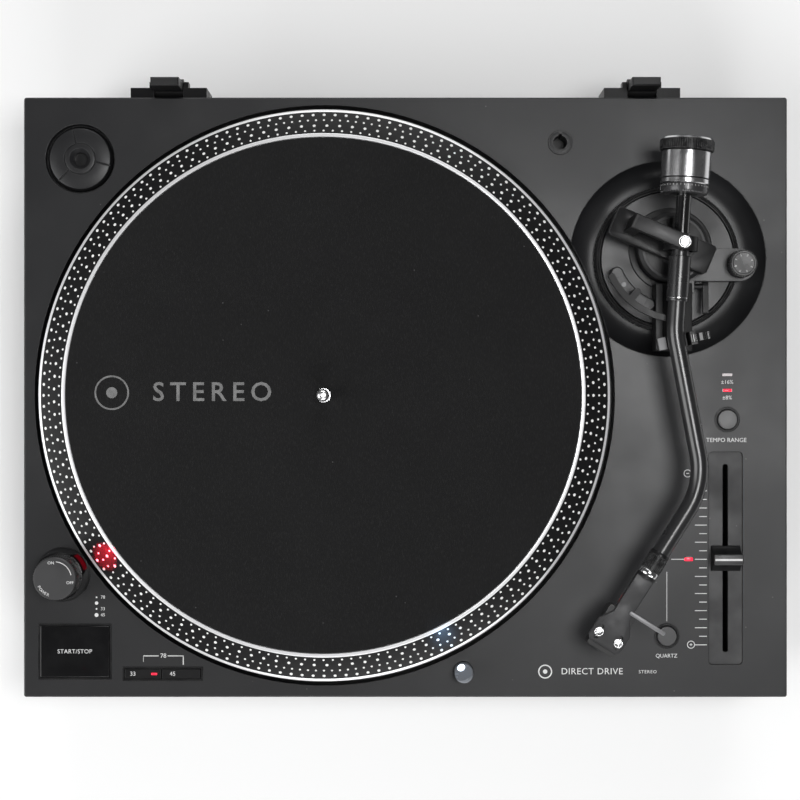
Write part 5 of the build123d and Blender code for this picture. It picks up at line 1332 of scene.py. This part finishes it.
class DECK_OT_headshell(bpy.types.Operator):
    """Builds the lock collar, headshell trim, screws, finger lift and pick-up leads"""

    bl_idname = "deck.headshell"
    bl_label = "Headshell"

    def execute(self, context):
        place = along(COLLAR_FACE, RUN_3)
        collar = lathe(
            [(5.08, -14.7), (5.5, -14.7), (5.75, -14.3), (5.75, -12.6), (5.5, -12.4), (5.5, -3.2),
             (5.75, -3.0), (5.95, -2.6), (5.95, -0.5), (5.7, -0.05), (5.08, -0.05)], 96, closed=True,
        )
        paint_faces(collar, 1, lambda c, n: c.z > -3.1)
        ribs(collar, 30, 5.5, -12.2, -3.4, 0.6, 0.42)
        put("collar_knurl", collar, place, ["knurl", "chrome"], "lock_collar", ["lock_collar"])
        shell = flat(COLLAR_FACE, RUN_3)
        neck = lathe([(0, 0.2), (5.4, 0.2), (5.6, 0.5), (5.6, 1.7), (5.3, 2.1), (0, 2.1)], 72)
        put("shell_flange", neck, place, "black satin", "headshell")
        outline = [(1.9, -5.2), (27.0, -5.2), (35.1, -10.3), (45.6, -10.3), (47.5, -8.4), (47.5, 8.4),
                   (45.6, 10.3), (35.1, 10.3), (27.0, 5.2), (1.9, 5.2)]
        plate = soften(prism(outline, 0.5), 0.35, 3, 60,
                       pick=lambda edge: min(v.co.z for v in edge.verts) > 0.4)
        cuts = []
        for side in (-1, 1):
            cut = block(9.0, 2.8, 2.0, 1.35, 6)
            bmesh.ops.translate(cut, vec=(SCREW_LINE, side * SCREW_SIDE, -0.5), verts=cut.verts)
            cuts.append(cut)
        plate = carve("shell_plate_cut", plate, cuts)
        put("shell_top", plate, shell @ shift(z=0.9), "shell grey", "headshell")
        screws = bmesh.new()
        for side in (-1, 1):
            head = lathe([(0, 0), (2.45, 0), (2.45, 0.9), (2.1, 1.45), (1.4, 1.6), (0, 1.62)], 48)
            slot = block(4.0, 0.6, 1.2)
            bmesh.ops.transform(slot, matrix=shift(z=1.05, turn=35 * side), verts=slot.verts)
            head = carve("head_cut", head, [slot])
            merge(screws, head, shift(x=SCREW_LINE, y=side * SCREW_SIDE, z=1.4))
        put("shell_screws", screws, shell, "polished steel", "headshell")
        blade = soften(block(2.4, 23.4, 1.0, 0.9, 4), 0.3, 2, 50)
        bmesh.ops.translate(blade, vec=(23.2, 14.5, 1.2), verts=blade.verts)
        put("finger_blade", blade, shell, "finger metal", "headshell", ["finger_lift"])
        lead_finishes = ["red plastic", "white plastic", "blue wire", "green wire"]
        for index, finish in enumerate(lead_finishes):
            side = -3.0 + index * 2.0
            row = 1.2 if index % 2 else -1.2
            path = [Vector((2.5, side * 0.6, -2.3)), Vector((8.0, side, -3.2)),
                    Vector((14.0, side * 1.5, -6.4 - row)),
                    Vector((20.0, side * 1.4, -7.5 + row)), Vector((24.4, side * 1.3, -7.5 + row))]
            pipe(f"pickup_lead_{index}", [shell @ point for point in path], 0.42, finish, "headshell",
                 sides=3)
        return {"FINISHED"}


class DECK_OT_feet(bpy.types.Operator):
    """Turns the four ribbed isolation feet"""

    bl_idname = "deck.feet"
    bl_label = "Feet"

    def execute(self, context):
        for name in ("front_left_foot", "back_left_foot", "front_right_foot", "back_right_foot"):
            low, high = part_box(name)
            centre = (low + high) / 2
            tall = (high.z - low.z) / MM
            profile = [
                (0, 0.4), (17, 0.4), (17.4, 0), (25.0, 0), (25.8, 0.8), (25.8, 3.2), (24.6, 4.0),
                (22.9, 4.6), (22.9, 10.4),
                (24.6, 11.2), (26.6, 12.0), (26.9, 12.6), (26.9, 25.6), (26.2, 26.6), (24.8, 27.4),
                (22.0, 27.8), (4.0, 27.8), (4.0, tall - 0.3), (3.7, tall), (0, tall),
            ]
            bm = lathe(profile, 96)
            paint_faces(bm, 1, lambda c, n: c.z < 11.0)
            paint_faces(bm, 2, lambda c, n: c.z > 27.75 and Vector((c.x, c.y)).length < 4.1)
            ribs(bm, 60, 26.6, 13.4, 24.8, 1.2, 0.38)
            place = upright(Vector((centre.x, centre.y, low.z)))
            put(f"{name}_turned", bm, place, ["black plastic", "base rubber", "zinc"], name, [name])
        return {"FINISHED"}


class DECK_OT_back(bpy.types.Operator):
    """Fits collars, liners and words to the sockets of the back panel"""

    bl_idname = "deck.back"
    bl_label = "Back panel"

    def execute(self, context):
        panel = middle("rear_panel")
        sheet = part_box("rear_sockets")[0].y
        facing_back = Matrix.Rotation(radians(180), 4, "Z") @ Matrix.Rotation(radians(90), 4, "X")
        for index, (x, finish, word) in enumerate(((42.0, "white plastic", "L"), (58.0, "red plastic", "R"))):
            place = along(Vector((x * MM, sheet, panel.z)), Vector((0, 1, 0)))
            washer = lathe([(4.2, 0.0), (5.8, 0.0), (5.8, 0.7), (5.4, 1.0), (4.2, 1.0)], 6, closed=True)
            put(f"socket_nut_{index}", washer, place, "zinc", "root")
            liner = lathe([(1.75, 8.1), (3.5, 8.1), (3.5, 9.05), (1.75, 9.05)], 40, closed=True)
            put(f"socket_liner_{index}", liner, place, finish, "root")
            face = Vector((x * MM, sheet + 0.02 * MM, panel.z + 9.0 * MM))
            turned = Matrix.Translation(face) @ facing_back
            lettering(f"socket_word_{index}", word, turned @ Matrix.Scale(MM, 4), 3.0, "legend", "root")
        for x, word, name in ((50.0, "OUTPUT", "word_output"), (20.0, "GND", "word_ground")):
            face = Vector((x * MM, sheet + 0.02 * MM, panel.z - 9.5 * MM))
            turned = Matrix.Translation(face) @ facing_back
            lettering(name, word, turned @ Matrix.Scale(MM, 4), 2.4, "legend", "root")
        return {"FINISHED"}


# ------------------------------------------------------------------ studio
def area(name, place, aim, width, height, power, tint=(1, 1, 1)):
    """A soft rectangular light aimed at a point."""
    data = bpy.data.lights.new(name, "AREA")
    data.shape = "RECTANGLE"
    data.size = width
    data.size_y = height
    data.energy = power
    data.color = tint
    lamp = bpy.data.objects.new(name, data)
    lamp.location = place
    lamp.rotation_euler = (Vector(aim) - Vector(place)).to_track_quat("-Z", "Y").to_euler()
    bpy.context.scene.collection.objects.link(lamp)
    return lamp


def spot(name, place, aim, angle, power, tint, blend=0.2, radius=0.0015):
    """A small lamp in the part that lights the platter's edge."""
    data = bpy.data.lights.new(name, "SPOT")
    data.spot_size = radians(angle)
    data.spot_blend = blend
    data.shadow_soft_size = radius
    data.energy = power
    data.color = tint
    lamp = bpy.data.objects.new(name, data)
    lamp.location = place
    lamp.rotation_euler = (Vector(aim) - Vector(place)).to_track_quat("-Z", "Y").to_euler()
    bpy.context.scene.collection.objects.link(lamp)
    return lamp


class DECK_OT_stage(bpy.types.Operator):
    """Sets the floor, lights, world and camera"""

    bl_idname = "deck.stage"
    bl_label = "Stage"

    def execute(self, context):
        scene = context.scene
        bm = bmesh.new()
        bmesh.ops.create_grid(bm, x_segments=1, y_segments=1, size=6.0)
        mesh = bpy.data.meshes.new("floor")
        bm.to_mesh(mesh)
        bm.free()
        floor = bpy.data.objects.new("floor", mesh)
        scene.collection.objects.link(floor)
        surface = Finish("floor", (0.96, 0.96, 0.96), 0.8, specular=0.1).grained(40.0, 0.00001, 0.75, 0.85)
        mesh.materials.append(surface.material)
        lights = [
            area("key", (0.36, 0.05, 1.9), (0.08, 0.0, 0.09), 0.5, 0.6, 14.0),
            area("fill", (-1.5, -0.4, 1.2), (0.0, 0.0, 0.05), 1.2, 1.4, 20.0),
            area("back", (0.2, 1.7, 1.1), (0.0, 0.0, 0.05), 1.6, 0.9, 14.0),
            area("front", (0.3, -1.8, 1.3), (0.0, -0.3, 0.0), 1.8, 0.8, 24.0),
            spot("strobe_beam", deck_point(-184.0, -96.5, 27.0), deck_point(-173.2, -91.4, 10.0), 50.0, 0.30,
                 (1.0, 0.010, 0.035), 0.06),
            spot("target_beam", deck_point(29.0, -152.0, 26.0), deck_point(21.6, -137.8, 11.0), 62.0, 0.035,
                 (0.36, 0.62, 1.0), 0.9),
        ]
        world = bpy.data.worlds.new("studio")
        world.use_nodes = True
        tree = world.node_tree
        sky = tree.nodes["Background"]
        place = tree.nodes.new("ShaderNodeTexCoord")
        parts = tree.nodes.new("ShaderNodeSeparateXYZ")
        tree.links.new(place.outputs["Generated"], parts.inputs[0])
        level = ramp_node(tree, parts.outputs["Z"], 0.55, 0.97, 1.60, 0.15)
        tree.links.new(level, sky.inputs["Strength"])
        scene.world = world
        data = bpy.data.cameras.new("camera")
        data.sensor_width = 36.0
        data.lens = 80.5
        camera = bpy.data.objects.new("camera", data)
        camera.location = deck_point(-3.2, -1.6, 1050.0)
        camera.rotation_euler = (0.0, 0.0, 0.0)
        scene.collection.objects.link(camera)
        scene.camera = camera
        scene.view_settings.view_transform = "Standard"
        return {"FINISHED"}


PIECES = (
    DECK_OT_finishes, DECK_OT_dish, DECK_OT_platter, DECK_OT_mat, DECK_OT_adapter, DECK_OT_stow_socket,
    DECK_OT_power,
    DECK_OT_buttons, DECK_OT_legends, DECK_OT_slider, DECK_OT_target_light, DECK_OT_arm_base, DECK_OT_bracket,
    DECK_OT_tonearm, DECK_OT_counterweight, DECK_OT_headshell, DECK_OT_feet, DECK_OT_back, DECK_OT_stage,
)


class DECK_PT_panel(bpy.types.Panel):
    """Lists the sizes, the colours and a button for each piece"""

    bl_idname = "DECK_PT_panel"
    bl_label = "Record player"
    bl_space_type = "VIEW_3D"
    bl_region_type = "UI"
    bl_category = "Record player"

    def draw(self, context):
        for group in (context.scene.deck_sizes, context.scene.deck_colours):
            for name in group.bl_rna.properties.keys():
                if name not in ("rna_type", "name"):
                    self.layout.prop(group, name)
        for piece in PIECES:
            self.layout.operator(piece.bl_idname)


CLASSES = (DeckSizes, DeckColours, *PIECES, DECK_PT_panel)


def register():
    """Registers the classes and hangs the settings on the scene."""
    for entry in CLASSES:
        bpy.utils.register_class(entry)
    bpy.types.Scene.deck_sizes = PointerProperty(type=DeckSizes)
    bpy.types.Scene.deck_colours = PointerProperty(type=DeckColours)


def unregister():
    """Undoes register."""
    del bpy.types.Scene.deck_colours
    del bpy.types.Scene.deck_sizes
    for entry in reversed(CLASSES):
        bpy.utils.unregister_class(entry)


def main():
    """Builds everything in order."""
    register()
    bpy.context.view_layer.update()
    for piece in PIECES:
        group, action = piece.bl_idname.split(".")
        getattr(getattr(bpy.ops, group), action)()


if __name__ == "__main__":
    main()
